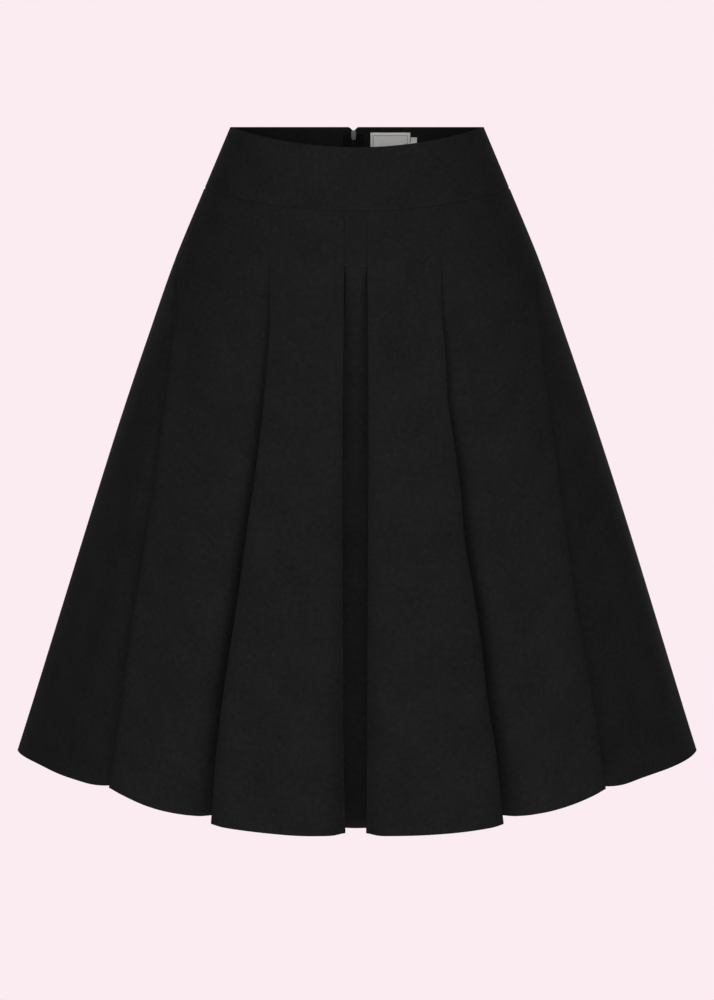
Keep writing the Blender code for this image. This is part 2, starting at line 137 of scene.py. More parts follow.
# How finely the shells are made
ARC_STEPS = 8
PLY_STEPS = 8
PANEL_STEPS = 26
NEAR_PLACES = (0.0, 0.09, 0.18, 0.27, 0.36, 0.5, 0.7, 1.0)  # close to a panel's start
NEAR_REACH = (0.0026, 0.020)
EDGE_PLACES = (0.0035, 0.0022, 0.0014, 0.0008, 0.0004, 0.0)  # close to a seamed edge
BASE_SAMPLES = 600
SMOOTHING = 10

# Zip
CENTRE_BACK_X = -0.0035
SHIFT_FADES = 0.02  # how far beside it the panels are shifted to it
ZIP_HALF_SLOT = 0.0008
ZIP_CLOSES = (0.013, 0.024)  # down from the top edge, below the slider
TAPES_MEET = {-1: 0.00025, 1: 0.00045}  # edges of the closed tapes, just past the cloth's slot
ZIP_SHARE = 0.19
TAPE_TOP = 0.007
TAPE_WIDTH = 0.011
TAPE_CLOTH = 0.0006
UNDER_GAP = 0.0002  # between the cloth and what lies on it
COIL_TOP = 0.0138
COIL_WIDTH = 0.0018
COIL_PITCH = 0.0011
COIL_WIRE = 0.00026
TOOTH_LEAN = 0.00018
TOOTH_HALF_HEIGHT = 0.00055
TOOTH_PLACES, TOOTH_SIDES = 12, 5


# ---------------------------------------------------------------- the cut


def mix(start, end, share):
    return start + (end - start) * share


def smooth_step(low, high, value):
    v = np.clip((value - low) / (high - low), 0, 1)
    return v * v * (3 - 2 * v)


def smooth_row(rows, share):
    """The table's other columns at this share, on a smooth curve through its rows."""
    table = np.array(rows, float)
    shares, values = table[:, 0], table[:, 1:]
    slopes = np.gradient(values, shares, axis=0)
    share = min(max(share, shares[0]), shares[-1])
    k = int(np.clip(np.searchsorted(shares, share, side="right") - 1, 0, len(shares) - 2))
    span = shares[k + 1] - shares[k]
    v = (share - shares[k]) / span
    return (
        (1 + 2 * v) * (1 - v) ** 2 * values[k]
        + v * (1 - v) ** 2 * span * slopes[k]
        + v * v * (3 - 2 * v) * values[k + 1]
        + v * v * (v - 1) * span * slopes[k + 1]
    )


def opened(share, ends):
    """How far a pleat that is stitched down to the share `ends` has opened, from 0 to 1."""
    return max(0.0, share - ends) / (1 - ends)


class BaseLine:
    """A quarter of a level's base line, from the centre (0, half depth) to the side."""

    def __init__(self, half_width, half_depth, roundness):
        angle = np.linspace(math.pi / 2, 0, BASE_SAMPLES)
        self.x = half_width * np.cos(angle).clip(0) ** (2 / roundness)
        self.y = half_depth * np.sin(angle).clip(0) ** (2 / roundness)
        step = np.hypot(np.diff(self.x), np.diff(self.y))
        self.along = np.concatenate([[0], np.cumsum(step)])
        out_x, out_y = -np.gradient(self.y), np.gradient(self.x)
        size = np.hypot(out_x, out_y)
        self.out_x, self.out_y = out_x / size, out_y / size
        self.out_x[0], self.out_y[0] = 0, 1
        self.out_x[-1], self.out_y[-1] = 1, 0
        self.length = self.along[-1]

    def along_at(self, x):
        return float(np.interp(x, self.x, self.along))

    def place(self, along, out):
        """The (x, y) of places on the ring, past the centre too."""
        table = (self.x, self.y, self.out_x, self.out_y)
        x, y, out_x, out_y = [np.interp(abs(along), self.along, column) for column in table]
        side = np.where(along < 0, -1, 1)
        return np.stack([side * (x + out * out_x), y + out * out_y], axis=-1)


def base_line(share):
    return BaseLine(*smooth_row(GIRTHS, share))


def seam_height(x, y_sign):
    """Height of the waistband seam over a place on its base line."""
    dip = FRONT_DIP * (1 - (x / GIRTHS[0][1]) ** 2) if y_sign < 0 else 0.0 * x
    return -BAND_DROP - np.clip(dip, 0, None)


# ---------------------------------------------------------------- how each quarter hangs

# How a fold's edge wanders along its line: share of the length, shift towards the side in mm
WANDER = {
    ("front", -1): {
        "centre": ((0, 1), (0.08, 1), (0.2, 1.7), (0.36, 2.8), (0.65, 2.8), (0.9, 1.8), (1, 0.6)),
        "inner": ((0, 0), (0.1, 0), (0.2, -3.4), (0.3, -3), (0.4, -2), (0.5, 1), (0.65, 3.2), (0.78, 5.6),
                  (0.88, 5), (1, 0)),
        "outer": ((0, 0), (0.12, 0), (0.2, -3), (0.28, -0.5), (0.4, 2), (0.52, 1), (0.6, 3.4),
                  (0.75, 5), (0.88, 2), (1, 0)),
    },
    ("front", 1): {
        "centre": ((0, -1.6), (0.08, -1.6), (0.2, -0.8), (0.36, -0.2), (0.65, -0.5), (0.9, -1.3),
                   (1, -1.9)),
        "inner": ((0, -2.5), (0.1, -3.6), (0.16, -5.2), (0.27, -4.4), (0.32, -5.4), (0.39, -2.6),
                  (0.46, -1), (0.55, -2), (0.64, 1.4), (0.73, 2.4), (0.8, 1.4), (0.88, 2.8), (1, 0.5)),
        "outer": ((0, 0), (0.12, -1), (0.17, -2.8), (0.3, -0.6), (0.44, 2), (0.6, 1.4), (0.7, 0.4),
                  (0.83, 2.4), (1, -0.4)),
    },
    ("back", -1): {
        "inner": ((0, 0), (0.12, 0), (0.25, -2.5), (0.42, 1), (0.6, 3), (0.75, 1.5), (0.88, 3), (1, 0)),
        "outer": ((0, 0), (0.14, 0), (0.28, -2), (0.45, 1.5), (0.58, 0.5), (0.76, 3.5), (1, 0)),
    },
    ("back", 1): {
        "inner": ((0, 0), (0.12, -0.5), (0.22, -3), (0.38, -1), (0.5, -2), (0.68, 2.5), (0.85, 1), (1, 0)),
        "outer": ((0, 0), (0.14, 0), (0.24, -2.5), (0.4, 0.5), (0.55, 2), (0.7, 0.5), (0.84, 2.5), (1, 0)),
    },
}

# Soft troughs and ridges down a quarter: place along the hem as a share, from and to as shares of
# the length, half width across in m, depth in mm (positive stands out)
TROUGHS = {
    ("front", -1): (
        (0.10, 0.30, 1.20, 0.024, 1.6),
        (0.19, 0.38, 1.10, 0.026, -2.6),
        (0.44, 0.28, 1.15, 0.022, 1.8),
        (0.52, 0.42, 1.20, 0.024, -2.4),
        (0.72, 0.34, 1.15, 0.030, 3.0),
        (0.86, 0.40, 1.20, 0.036, -4.0),
    ),
    ("front", 1): (
        (0.13, 0.26, 1.20, 0.028, -2.0),
        (0.24, 0.40, 1.20, 0.024, 1.8),
        (0.42, 0.12, 0.34, 0.012, -3.0),
        (0.47, 0.36, 1.10, 0.026, -2.6),
        (0.56, 0.30, 1.20, 0.022, 1.8),
        (0.74, 0.44, 1.20, 0.030, -3.0),
        (0.88, 0.30, 1.10, 0.034, 3.2),
    ),
    ("back", -1): (
        (0.14, 0.26, 1.20, 0.030, -3.0),
        (0.26, 0.40, 1.15, 0.024, 2.0),
        (0.46, 0.34, 1.20, 0.024, -2.4),
        (0.71, 0.42, 1.15, 0.030, 2.8),
        (0.85, 0.34, 1.20, 0.034, -3.6),
    ),
    ("back", 1): (
        (0.11, 0.40, 1.20, 0.026, 2.2),
        (0.22, 0.30, 1.10, 0.028, -2.8),
        (0.45, 0.28, 1.15, 0.022, 1.8),
        (0.54, 0.40, 1.20, 0.026, -2.6),
        (0.76, 0.34, 1.20, 0.032, -3.0),
        (0.89, 0.44, 1.10, 0.030, 2.6),
    ),
}


def trough_out(troughs, along_share, share, length):
    out = np.zeros_like(along_share)
    for place, start, end, half_width, depth in troughs:
        if not start < share < end:
            continue
        swell = math.sin(math.pi * (share - start) / (end - start)) ** 1.5
        away = (along_share - place) * length / half_width
        out += depth / 1000 * swell * np.exp(-(away**2))
    return out


# ---------------------------------------------------------------- the path of a quarter


def arc(centre, radius, start, end):
    angles = np.linspace(start, end, ARC_STEPS + 1)
    return np.stack([centre[0] + radius * np.cos(angles), centre[1] + radius * np.sin(angles)], axis=1)


def straight(start, end, steps):
    """Places between two ends, without the ends."""
    return np.linspace(start, end, steps + 1)[1:-1]


def z_fold(edge, out, under, width, edge_radius, inner_radius, lead=0.0):
    """One pleat seen end-on, the edge facing the side: round its edge, back along the middle layer,
    round the inner fold and along the under layer to below the edge."""
    outer = np.array([edge - edge_radius, out - edge_radius])
    inner = np.array([edge - width + inner_radius, under + inner_radius])
    run, drop = outer - inner
    tilt = math.atan2(drop, run) - math.asin((edge_radius + inner_radius) / math.hypot(run, drop))
    quarter_turn = math.pi / 2
    first = arc(outer, edge_radius, quarter_turn - lead, tilt - quarter_turn)
    second = arc(inner, inner_radius, tilt + quarter_turn, 3 * quarter_turn)
    middle = straight(first[-1], second[0], PLY_STEPS)
    beneath = straight(second[-1], np.array([edge, under]), PLY_STEPS)
    return np.vstack([first, middle, second, beneath])


def edge_fall(distance, share, fall):
    """How far a panel falls back at this distance from its folded edge, by `fall` at the edge."""
    return fall * np.clip(1 - distance / mix(*FALL_REACH, share), 0, 1) ** 2


def edge_slope(share, fall):
    return 2 * fall / mix(*FALL_REACH, share)


def panel(start, end, step, inset, sweep, ease, opening, wall, last=False):
    """The face of a panel, from behind one edge to where the next begins to turn.  It rises by
    `step` close to its start, and by `inset` partly there and partly over its whole width."""
    near = start + mix(*NEAR_REACH, opening) * np.array(NEAR_PLACES)
    stop = end - EDGE_PLACES[0] if last else end
    places = np.concatenate([near, np.linspace(near[-1], stop, PANEL_STEPS + 1)[1:]])
    places = np.concatenate([places, end - np.array(EDGE_PLACES[1:])]) if last else places[:-1]
    share = (places - start) / (end - start)
    rise = step * np.clip(1 - (places - start) / SEAM_STEP, 0, 1) ** 1.2
    hollow = mix((1 - share**sweep) ** ease, np.exp(-(((places - start) / WALL_REACH) ** 2)), wall)
    return np.stack([places, -rise - inset * hollow], axis=1)


def relax(path, first, last, amount):
    """Evens out the bends of a stretch of the path, its ends held."""
    smooth = path.copy()
    for _ in range(SMOOTHING):
        inner = smooth[first + 1 : last]
        sides = smooth[first : last - 1] + smooth[first + 2 : last + 1]
        smooth[first + 1 : last] = inner / 2 + sides / 4
    path[:] = mix(path, smooth, amount)


def closed_step(open_share):
    """How far the layers of a pleat lie below its edge where it is stitched down."""
    return 2 * PLY * max(0.0, 1 - open_share / STEP_FADES)


def centre_pleat(share, line, width, shift):
    """Half the inverted pleat of the centre front, and where its first panel starts."""
    open_share = opened(share, CENTRE_ENDS)
    edge_inset = CENTRE_EDGE_INSET * open_share
    fall = CENTRE_FALL * open_share
    underlay = CENTRE_UNDERLAY_INSET * open_share**CENTRE_OPENING
    step = closed_step(open_share)
    radius = mix(*EDGE_RADIUS, open_share)
    edge = line.along_at(CENTRE_EDGE) + shift
    slope = CENTRE_EASE * edge_inset / line.along_at(PLEATS["inner"]["hem"])
    lead = math.atan(slope + edge_slope(share, fall))
    inner_radius = mix(*INNER_RADIUS, open_share)
    fold = z_fold(0, -edge_inset - fall, -underlay - step, width, radius, inner_radius, lead)
    fold = np.stack([edge - fold[:, 0], fold[:, 1]], axis=1)[::-1]
    near = edge - NEAR_REACH[0] * np.array(NEAR_PLACES)[::-1]
    places = np.concatenate([np.linspace(0, near[0], 4)[:-1], near])
    rise = step * np.clip(1 - (edge - places) / SEAM_STEP, 0, 1) ** 1.2
    middle = np.stack([places, -underlay - rise], axis=1)
    return [middle, fold], edge + radius, edge_inset, fall


def quarter_path(share, line, part, wander):
    """The ring's path from the centre to the side in one quarter."""
    shift = {name: smooth_row(rows, share)[0] / 1000 for name, rows in wander.items()}
    width = mix(*PLY_WIDTH, share)
    pieces, start, step, inset, sweep, ease, opening, wall = [], 0.0, 0.0, 0.0, 1, 1, 0.0, 0.0
    fallen = 0.0
    if part == "front":
        pieces, start, inset, fallen = centre_pleat(share, line, width, shift["centre"])
        ease = CENTRE_EASE
    joins = []
    for name, pleat in PLEATS.items():
        open_share = opened(share, pleat["ends"])
        closed_share = min(share / pleat["ends"], 1)
        x = mix(pleat["seam"], pleat["release"], closed_share)
        x = mix(x, pleat["hem"], open_share**EDGE_SWING)
        edge = line.along_at(x) + shift[name]
        radius = mix(*EDGE_RADIUS, open_share)
        face = panel(start, edge - radius, step, inset, sweep, ease, opening, wall)
        fall = pleat["fall"] * open_share
        face[:, 1] -= edge_fall(edge - radius - face[:, 0], share, fall)
        if name == "inner":
            face[:, 1] -= edge_fall(face[:, 0] - start, share, fallen)
        pieces.append(face[1:] if part == "front" and name == "inner" else face)
        inset = pleat["depth"] * open_share**OPENING
        step = closed_step(open_share)
        inner_radius = mix(*INNER_RADIUS, open_share)
        lead = math.atan(edge_slope(share, fall))
        pieces.append(z_fold(edge, -fall, -inset - step, width, radius, inner_radius, lead))
        wall = mix(WALL, pleat["wall"], smooth_step(0.72, 1.0, share))
        joins.append((sum(len(piece) for piece in pieces), smooth_step(0, 0.15, open_share)))
        start, sweep, ease, opening = edge, pleat["sweep"], pleat["ease"], open_share
    pieces.append(panel(start, line.length, step, inset, sweep, ease, opening, wall, last=True))
    path = np.vstack(pieces)
    for join, amount in joins:
        relax(path, join - PLY_STEPS + 1, join + len(NEAR_PLACES) + 3, amount)
    return path


def fine_levels():
    """Shares of the length, closer together at the seam, where the pleats open and at the hem."""
    seam = np.array([0.0, 0.0006, 0.0013, 0.0022, 0.0035, 0.006, 0.012])
    stretches = ((0.012, 0.08, 7), (0.08, 0.2, 22), (0.2, 0.94, 60), (0.94, 1.0, 8))
    return np.concatenate([seam, *[np.linspace(a, b, n + 1)[1:] for a, b, n in stretches]])


def roll(distance):
    """How far cloth turns in at this distance from a seam."""
    return SEAM_ROLL * np.exp(-((distance / ROLL_WIDTH) ** 2))


def quarter_grid(part, side):
    """Places of a quarter's cloth, [level, column] -> (x, y, z), on its middle, and its (u, v)."""
    y_sign = -1 if part == "front" else 1
    shares = fine_levels()
    lines = [base_line(share) for share in shares]
    paths = [quarter_path(s, line, part, WANDER[part, side]) for s, line in zip(shares, lines)]
    flat, run = [], []
    for share, line, path in zip(shares, lines, paths):
        path[:, 1] += trough_out(TROUGHS[part, side], path[:, 0] / line.length, share, line.length)
        path[:, 1] -= roll(line.length - path[:, 0]) + roll(share * SKIRT_LENGTH)
        path[:, 1] -= roll(path[:, 0]) if part == "back" else 0
        places = line.place(path[:, 0], path[:, 1])
        flat.append(places)
        run.append(np.concatenate([[0], np.cumsum(np.hypot(*np.diff(places, axis=0).T))]))
    along, out = paths[-1].T
    longer = np.array([smooth_row(LET_DOWN, a / lines[-1].length)[0] for a in along])
    if part == "front":
        from_centre = along / lines[-1].length
        longer += [smooth_row(CENTRE_LET_DOWN, a)[0] for a in from_centre]
        deep = smooth_step(0.02, CENTRE_UNDERLAY_INSET, -out) * smooth_step(0.14, 0.07, from_centre)
        longer += UNDERLAY_LET_DOWN * deep
    length = SKIRT_LENGTH + RISE_PER_INSET * out + longer
    seam_x = lines[0].place(paths[0][:, 0], np.zeros(len(along)))[:, 0]
    height = seam_height(seam_x, y_sign) - SEAM_GAP / 2
    rows = []
    for k, places in enumerate(flat):
        if k:
            moved = np.hypot(*(places - flat[k - 1]).T)
            step = length * (shares[k] - shares[k - 1])
            height = height - np.sqrt((step**2 - moved**2).clip(0))
        rows.append(np.column_stack([places[:, 0] * side, y_sign * places[:, 1], height]))
    across = np.array(run)
    down = shares[:, None] * length
    return np.array(rows), np.stack([across * side, np.broadcast_to(down, across.shape)], axis=-1)


# ---------------------------------------------------------------- shells


def linked(name, data):
    """A new object in the scene with this mesh, lamp or camera."""
    made = bpy.data.objects.new(name, data)
    bpy.context.scene.collection.objects.link(made)
    return made


def grid_normals(grid):
    """Outward directions of a grid whose columns run anticlockwise from above and rows down."""
    along = np.gradient(grid, axis=1)
    down = np.gradient(grid, axis=0)
    normal = np.cross(down, along)
    return normal / np.linalg.norm(normal, axis=2, keepdims=True).clip(1e-12)


def unit(vectors):
    return vectors / np.linalg.norm(vectors, axis=-1, keepdims=True).clip(1e-12)


def shell(name, grid, uv, thickness, extra=0.0, rounding=4):
    """A closed thin shell on a grid.  `extra` thickens it inwards, and may vary by [row, column].
    Its top and bottom edges are rounded."""
    normal = grid_normals(grid)
    half = thickness / 2
    extra = np.broadcast_to(np.asarray(extra, float), grid.shape[:2])[..., None]
    outer = grid + normal * half
    inner = grid - normal * (half + extra)
    top_away = unit(grid[0] - grid[1])
    bottom_away = unit(grid[-1] - grid[-2])

    def rounded(front, back, away):
        middle, reach = (front + back) / 2, (front - back) / 2
        size = np.linalg.norm(reach, axis=1, keepdims=True)
        angles = np.linspace(0, math.pi, rounding + 1)[1:-1]
        return [middle + reach * math.cos(a) + away * size * math.sin(a) for a in angles]

    bottom = rounded(outer[-1], inner[-1], bottom_away)
    top = rounded(inner[0], outer[0], top_away)
    rows = [*outer, *bottom, *inner[::-1], *top]
    uv_rows = [*uv, *[uv[-1]] * len(bottom), *uv[::-1], *[uv[0]] * len(top)]
    count, columns = len(rows), grid.shape[1]
    vertices = np.concatenate(rows)
    numbers = np.arange(count * columns).reshape(count, columns)
    following = np.roll(numbers, -1, axis=0)
    quads = np.stack(
        [numbers[:, :-1], following[:, :-1], following[:, 1:], numbers[:, 1:]], axis=-1
    ).reshape(-1, 4)
    levels = grid.shape[0]
    matching = levels + len(bottom) + levels - 1 - np.arange(levels)
    sides = []
    for column, flip in ((0, False), (columns - 1, True)):
        loop_outer, loop_inner = numbers[:levels, column], numbers[matching, column]
        strip = np.stack([loop_outer[:-1], loop_inner[:-1], loop_inner[1:], loop_outer[1:]], axis=-1)
        caps = [
            [loop_outer[-1], loop_inner[-1], *numbers[levels : levels + len(bottom), column][::-1]],
            [loop_inner[0], loop_outer[0], *numbers[matching[0] + 1 :, column][::-1]],
        ]
        for face in [*strip.tolist(), *[[int(v) for v in cap] for cap in caps]]:
            sides.append(face[::-1] if flip else face)
    data = bpy.data.meshes.new(name)
    data.from_pydata(vertices.tolist(), [], quads.tolist() + sides)
    data.validate()
    layer = data.uv_layers.new(name="cloth")
    corners = np.empty(len(data.loops), int)
    data.loops.foreach_get("vertex_index", corners)
    layer.uv.foreach_set("vector", np.concatenate(uv_rows)[corners].astype(np.float32).ravel())
    data.shade_smooth()
    return linked(name, data)


def join_halves(left, right):
    """Grids of a left and a right quarter that share their first column, as one grid."""
    return [np.concatenate([a[:, ::-1], b[:, 1:]], axis=1) for a, b in zip(left, right)]


def hem_layer(uv):
    """The thickness that the turned-up hem adds inside, by [row, column]."""
    to_edge = uv[-1:, :, 1] - uv[..., 1]
    return HEM_LAYER * smooth_step(HEM_TURN_UP + HEM_STEP, HEM_TURN_UP, to_edge)


def cut_panels(kind, quarter, from_waist, thickness, layer, rounding):
    """Grid, uv, thickness, added thickness inside and edge rounding of the front and both back halves.
    They part at the centre back where the zip is open, down to ZIP_CLOSES from the waist's edge."""
    grid, uv = join_halves(quarter("front", -1), quarter("front", 1))
    grid[:, [0, -1], 1] = -SEAM_GAP / 2
    made = {f"{kind}_front": (grid, uv, thickness, layer(uv), rounding)}
    for name, side in (("left", -1), ("right", 1)):
        grid, uv = quarter("back", side)
        grid[:, -1, 1] = SEAM_GAP / 2
        x = grid[..., 0] * side
        closed = smooth_step(*ZIP_CLOSES, from_waist + uv[..., 1])
        shift = side * CENTRE_BACK_X + mix(ZIP_HALF_SLOT, SEAM_GAP / 2, closed)
        grid[..., 0] = side * (x + shift * smooth_step(SHIFT_FADES, 0.0, x))
        if side > 0:
            grid, uv = grid[:, ::-1], uv[:, ::-1]
        made[f"{kind}_back_{name}"] = (grid, uv, thickness, layer(uv), rounding)
    return made


def beside_seam(grid, at_end, distances):
    """Places of a grid at distances from its first or last column, straight on within SEAM_EASE of it."""
    if not at_end:
        grid = grid[:, ::-1]
    rows = []
    for row in grid:
        back = row[::-1]
        run = np.r_[0, np.cumsum(np.linalg.norm(np.diff(back, axis=0), axis=1))]
        at, near, far = (
            np.stack([np.interp(places, run, column) for column in back.T], axis=-1)
            for places in (np.maximum(distances, SEAM_EASE), SEAM_EASE, 2 * SEAM_EASE)
        )
        rows.append(at + (near - far) * (1 - np.minimum(distances, SEAM_EASE) / SEAM_EASE)[:, None])
    made = np.array(rows)
    return made[:, ::-1] if at_end else made


def allowance(name, grid, uv, at_end, reach):
    """A seam's allowance, pressed back on the inner face, from `reach` past the seam."""
    distances = np.linspace(-reach, ALLOWANCE, 9)
    shares = fine_levels()
    kept = shares > 0.01
    if name.startswith("centre_back"):
        kept &= shares > ZIP_SHARE - 0.01
    made = beside_seam(grid[kept], at_end, distances)
    made[-1] = mix(made[-1], made[-2], 0.2)
    normal = grid_normals(made)
    to_edge = (uv[-1:, :, 1] - uv[..., 1])[kept, -1 if at_end else 0]
    over_hem = HEM_LAYER * smooth_step(HEM_TURN_UP + ALLOWANCE_RISE, HEM_TURN_UP, to_edge)
    wavy = ALLOWANCE_WAVE * np.sin(np.linspace(0, 40, len(made)))
    lift = CLOTH + SEAM_ROLL + UNDER_GAP + over_hem + wavy
    made = made - normal * lift[:, None, None]
    down = shares[kept] * SKIRT_LENGTH
    strip_uv = flat_uv(distances[::-1] if at_end else distances, down)
    return shell(f"{name}_allowance", made, strip_uv, CLOTH)


def allowances(grids):
    """The allowances of the side seams and, below the zip, of the centre back seam."""
    front, left, right = (grids[f"skirt_{part}"][:2] for part in ("front", "back_left", "back_right"))
    under, over = 0.0004, -0.0002
    return [
        allowance("side_left_front", *front, False, under),
        allowance("side_right_front", *front, True, under),
        allowance("side_left_back", *left, True, over),
        allowance("side_right_back", *right, False, over),
        allowance("centre_back_left", *left, False, under),
        allowance("centre_back_right", *right, True, over),
    ]


# ---------------------------------------------------------------- waistband


NOTCH_DEPTH = 0.0036
NOTCH_WIDTHS = {-1: 0.0042, 1: 0.0034}
BAND_ROWS = 22
BAND_EDGE_PLACES = (0.0035, 0.0022, 0.0013, 0.0006, 0.0)  # rows close above the seam


def band_quarter(part, side):
    y_sign = -1 if part == "front" else 1
    waist = BaseLine(WAIST_HALF_WIDTH, WAIST_HALF_DEPTH, GIRTHS[0][3])
    seam = base_line(0)
    edge = np.array(EDGE_PLACES) / waist.length
    share = np.concatenate([edge[::-1], np.linspace(edge[0], 1 - edge[0], 80)[1:-1], 1 - edge])
    seam_x = seam.place(share * seam.length, 0 * share)[:, 0]
    low_height = seam_height(seam_x, y_sign) + SEAM_GAP / 2
    top_height = low_height - SEAM_GAP / 2 + BAND_DROP - BAND_THICKNESS / 2
    turn = roll((1 - share) * waist.length)
    if part == "back":
        turn = turn + roll(share * waist.length)
        top_height = top_height - NOTCH_DEPTH * (1 - share * waist.length / NOTCH_WIDTHS[side]).clip(0)
    rows, uv = [], []
    near_seam = 1 - np.array(BAND_EDGE_PLACES) / BAND_DROP
    for level in np.concatenate([[0.0, 0.012, 0.03], np.linspace(0.06, 0.92, BAND_ROWS), near_seam]):
        inset = BAND_INSET + turn + roll((1 - level) * BAND_DROP)
        top = waist.place(share * waist.length, -inset)
        low = seam.place(share * seam.length, -inset)
        places = mix(top, low, level)
        height = mix(top_height, low_height, level)
        rows.append(np.column_stack([places[:, 0] * side, y_sign * places[:, 1], height]))
        run = mix(share * waist.length, share * seam.length, level)
        uv.append(np.column_stack([run * side, np.full(len(run), level * BAND_DROP)]))
    return np.array(rows), np.array(uv)


# ---------------------------------------------------------------- inside the back

SLOPE = math.atan((GIRTHS[0][2] - WAIST_HALF_DEPTH) / BAND_DROP)  # of the band at the centre back
TAG_CLOTH = 0.0005
TAGS = {
    # left, right, top, bottom: places across, and down from the top edge
    "label": (0.0140, 0.0552, 0.0055, 0.0290),
    "size_tab": (0.0558, 0.0622, 0.0104, 0.0190),
}
FOLDED_END = 0.005
FOLD_STEP = 0.0006
TAG_GAP = 0.0003  # between the band and a tag
LABEL_PUFF = 0.0003
TAB_STANDS = 0.0012  # how far the size tab's loose end stands off
BORDER_INSET = 0.0028
BORDER_HALF_WIDTH = 0.00028


def band_inner_face(across, down):
    """The band's inner face at the back, at places across by places down, and its outward side."""
    waist = BaseLine(WAIST_HALF_WIDTH, WAIST_HALF_DEPTH, GIRTHS[0][3])
    seam = base_line(0)
    rows = []
    for level in np.asarray(down) / BAND_DROP:
        share = np.abs(across) / mix(waist.length, seam.length, level)
        top, low = (line.place(share * line.length, -BAND_INSET) for line in (waist, seam))
        places = mix(top, low, level)
        rows.append(np.column_stack([across, places[:, 1], np.full(len(across), -level * BAND_DROP)]))
    grid = np.array(rows)
    out = -grid_normals(grid)
    return grid - out * BAND_THICKNESS / 2, out


def zip_face(across, bottom_share):
    """The inner face that the zip lies on: the band's, and below its seam the skirt's."""
    down = np.linspace(TAPE_TOP, BAND_DROP * 0.94, 20)
    band, _ = band_inner_face(across, down)
    rows = []
    for share in np.linspace(0.015, bottom_share, 30):
        line = base_line(share)
        places = line.place(np.abs(across), np.full(len(across), -CLOTH / 2))
        drop = seam_height(np.zeros(1), 1)[0] - share * SKIRT_LENGTH * SLANT
        rows.append(np.column_stack([across, places[:, 1], np.full(len(across), drop)]))
    return np.concatenate([band, np.array(rows)])


def flat_uv(across, down):
    return np.stack(np.meshgrid(across, down), axis=-1)


def tape(side):
    """One side of the zip's tape, which meets the other side below the slider."""
    edges = sorted([CENTRE_BACK_X + side * ZIP_HALF_SLOT, CENTRE_BACK_X + side * TAPE_WIDTH])
    across = np.linspace(*edges, 10)
    face = zip_face(across, ZIP_SHARE)
    down = np.cumsum(np.r_[0, np.linalg.norm(np.diff(face[:, 0], axis=0), axis=1)])
    grid = face + grid_normals(face) * (UNDER_GAP + TAPE_CLOTH / 2)
    closed = smooth_step(*ZIP_CLOSES, down)[:, None]
    inner = (TAPE_WIDTH - np.abs(across - CENTRE_BACK_X)) / (TAPE_WIDTH - ZIP_HALF_SLOT)
    grid[..., 0] += (TAPES_MEET[side] - side * ZIP_HALF_SLOT) * closed * inner
    return grid[:, ::-1], flat_uv(across, down)[:, ::-1]


def zip_line(x, lift):
    """A line down the zip, `lift` in from the face it lies on, and the way to the inside."""
    across = np.array([x - 0.001, x, x + 0.001])
    face = zip_face(across, ZIP_SHARE)
    out = -grid_normals(face)
    return (face - out * lift)[:, 1], -out[:, 1]


def tag(name):
    """A tag on the band's inner face, its two ends folded under."""
    left, right, top, bottom = TAGS[name]
    across = np.linspace(left, right, 40)
    down = np.linspace(top, bottom, 16)
    face, out = band_inner_face(across, down)
    ends = np.minimum(across - left, right - across)
    ends_fold = TAG_CLOTH * smooth_step(FOLDED_END, FOLDED_END - FOLD_STEP, ends)
    puff = LABEL_PUFF * np.sin(math.pi * (across - left) / (right - left)) * (name == "label")
    lift = TAG_GAP + TAG_CLOTH / 2 + ends_fold / 2 + puff
    grid = face - out * lift[None, :, None]
    if name == "size_tab":
        away = smooth_step(0.3, 1, np.linspace(0, 1, len(down)))
        grid = grid - out * (TAB_STANDS * away)[:, None, None]
    return grid[:, ::-1], flat_uv(across - left, down - top)[:, ::-1]


# ---------------------------------------------------------------- what repeats along a path

STITCHES = {
    # length and thickness of a stitch, and from one to the next
    "hem_stitches": (0.0016, 0.0004, 0.006),
    "zip_tape_stitches": (0.0021, 0.00035, 0.0026),
    "label_stitches": (0.0019, 0.0003, 0.0024),
    "bar_tacks": (0.0004, 0.0007, 0.00032),
}
BLIND_LIFT, STITCH_LIFT, LABEL_LIFT = 0.0004, 0.0001, 0.00135
TAPE_SEAMS = (0.0042, 0.0085)
LABEL_SEAM_INSET = 0.0012
TACK_BELOW = 0.004  # from where a pleat's stitching ends to its tack, as a share of the length
TACK_HALF_WIDTH = 0.002
RELEASES = [(name, pleat["ends"], pleat["release"]) for name, pleat in PLEATS.items()]
RELEASES += [("centre", CENTRE_ENDS, CENTRE_EDGE)]
COIL_LIFT = 0.0009
COIL_APART = 0.0001


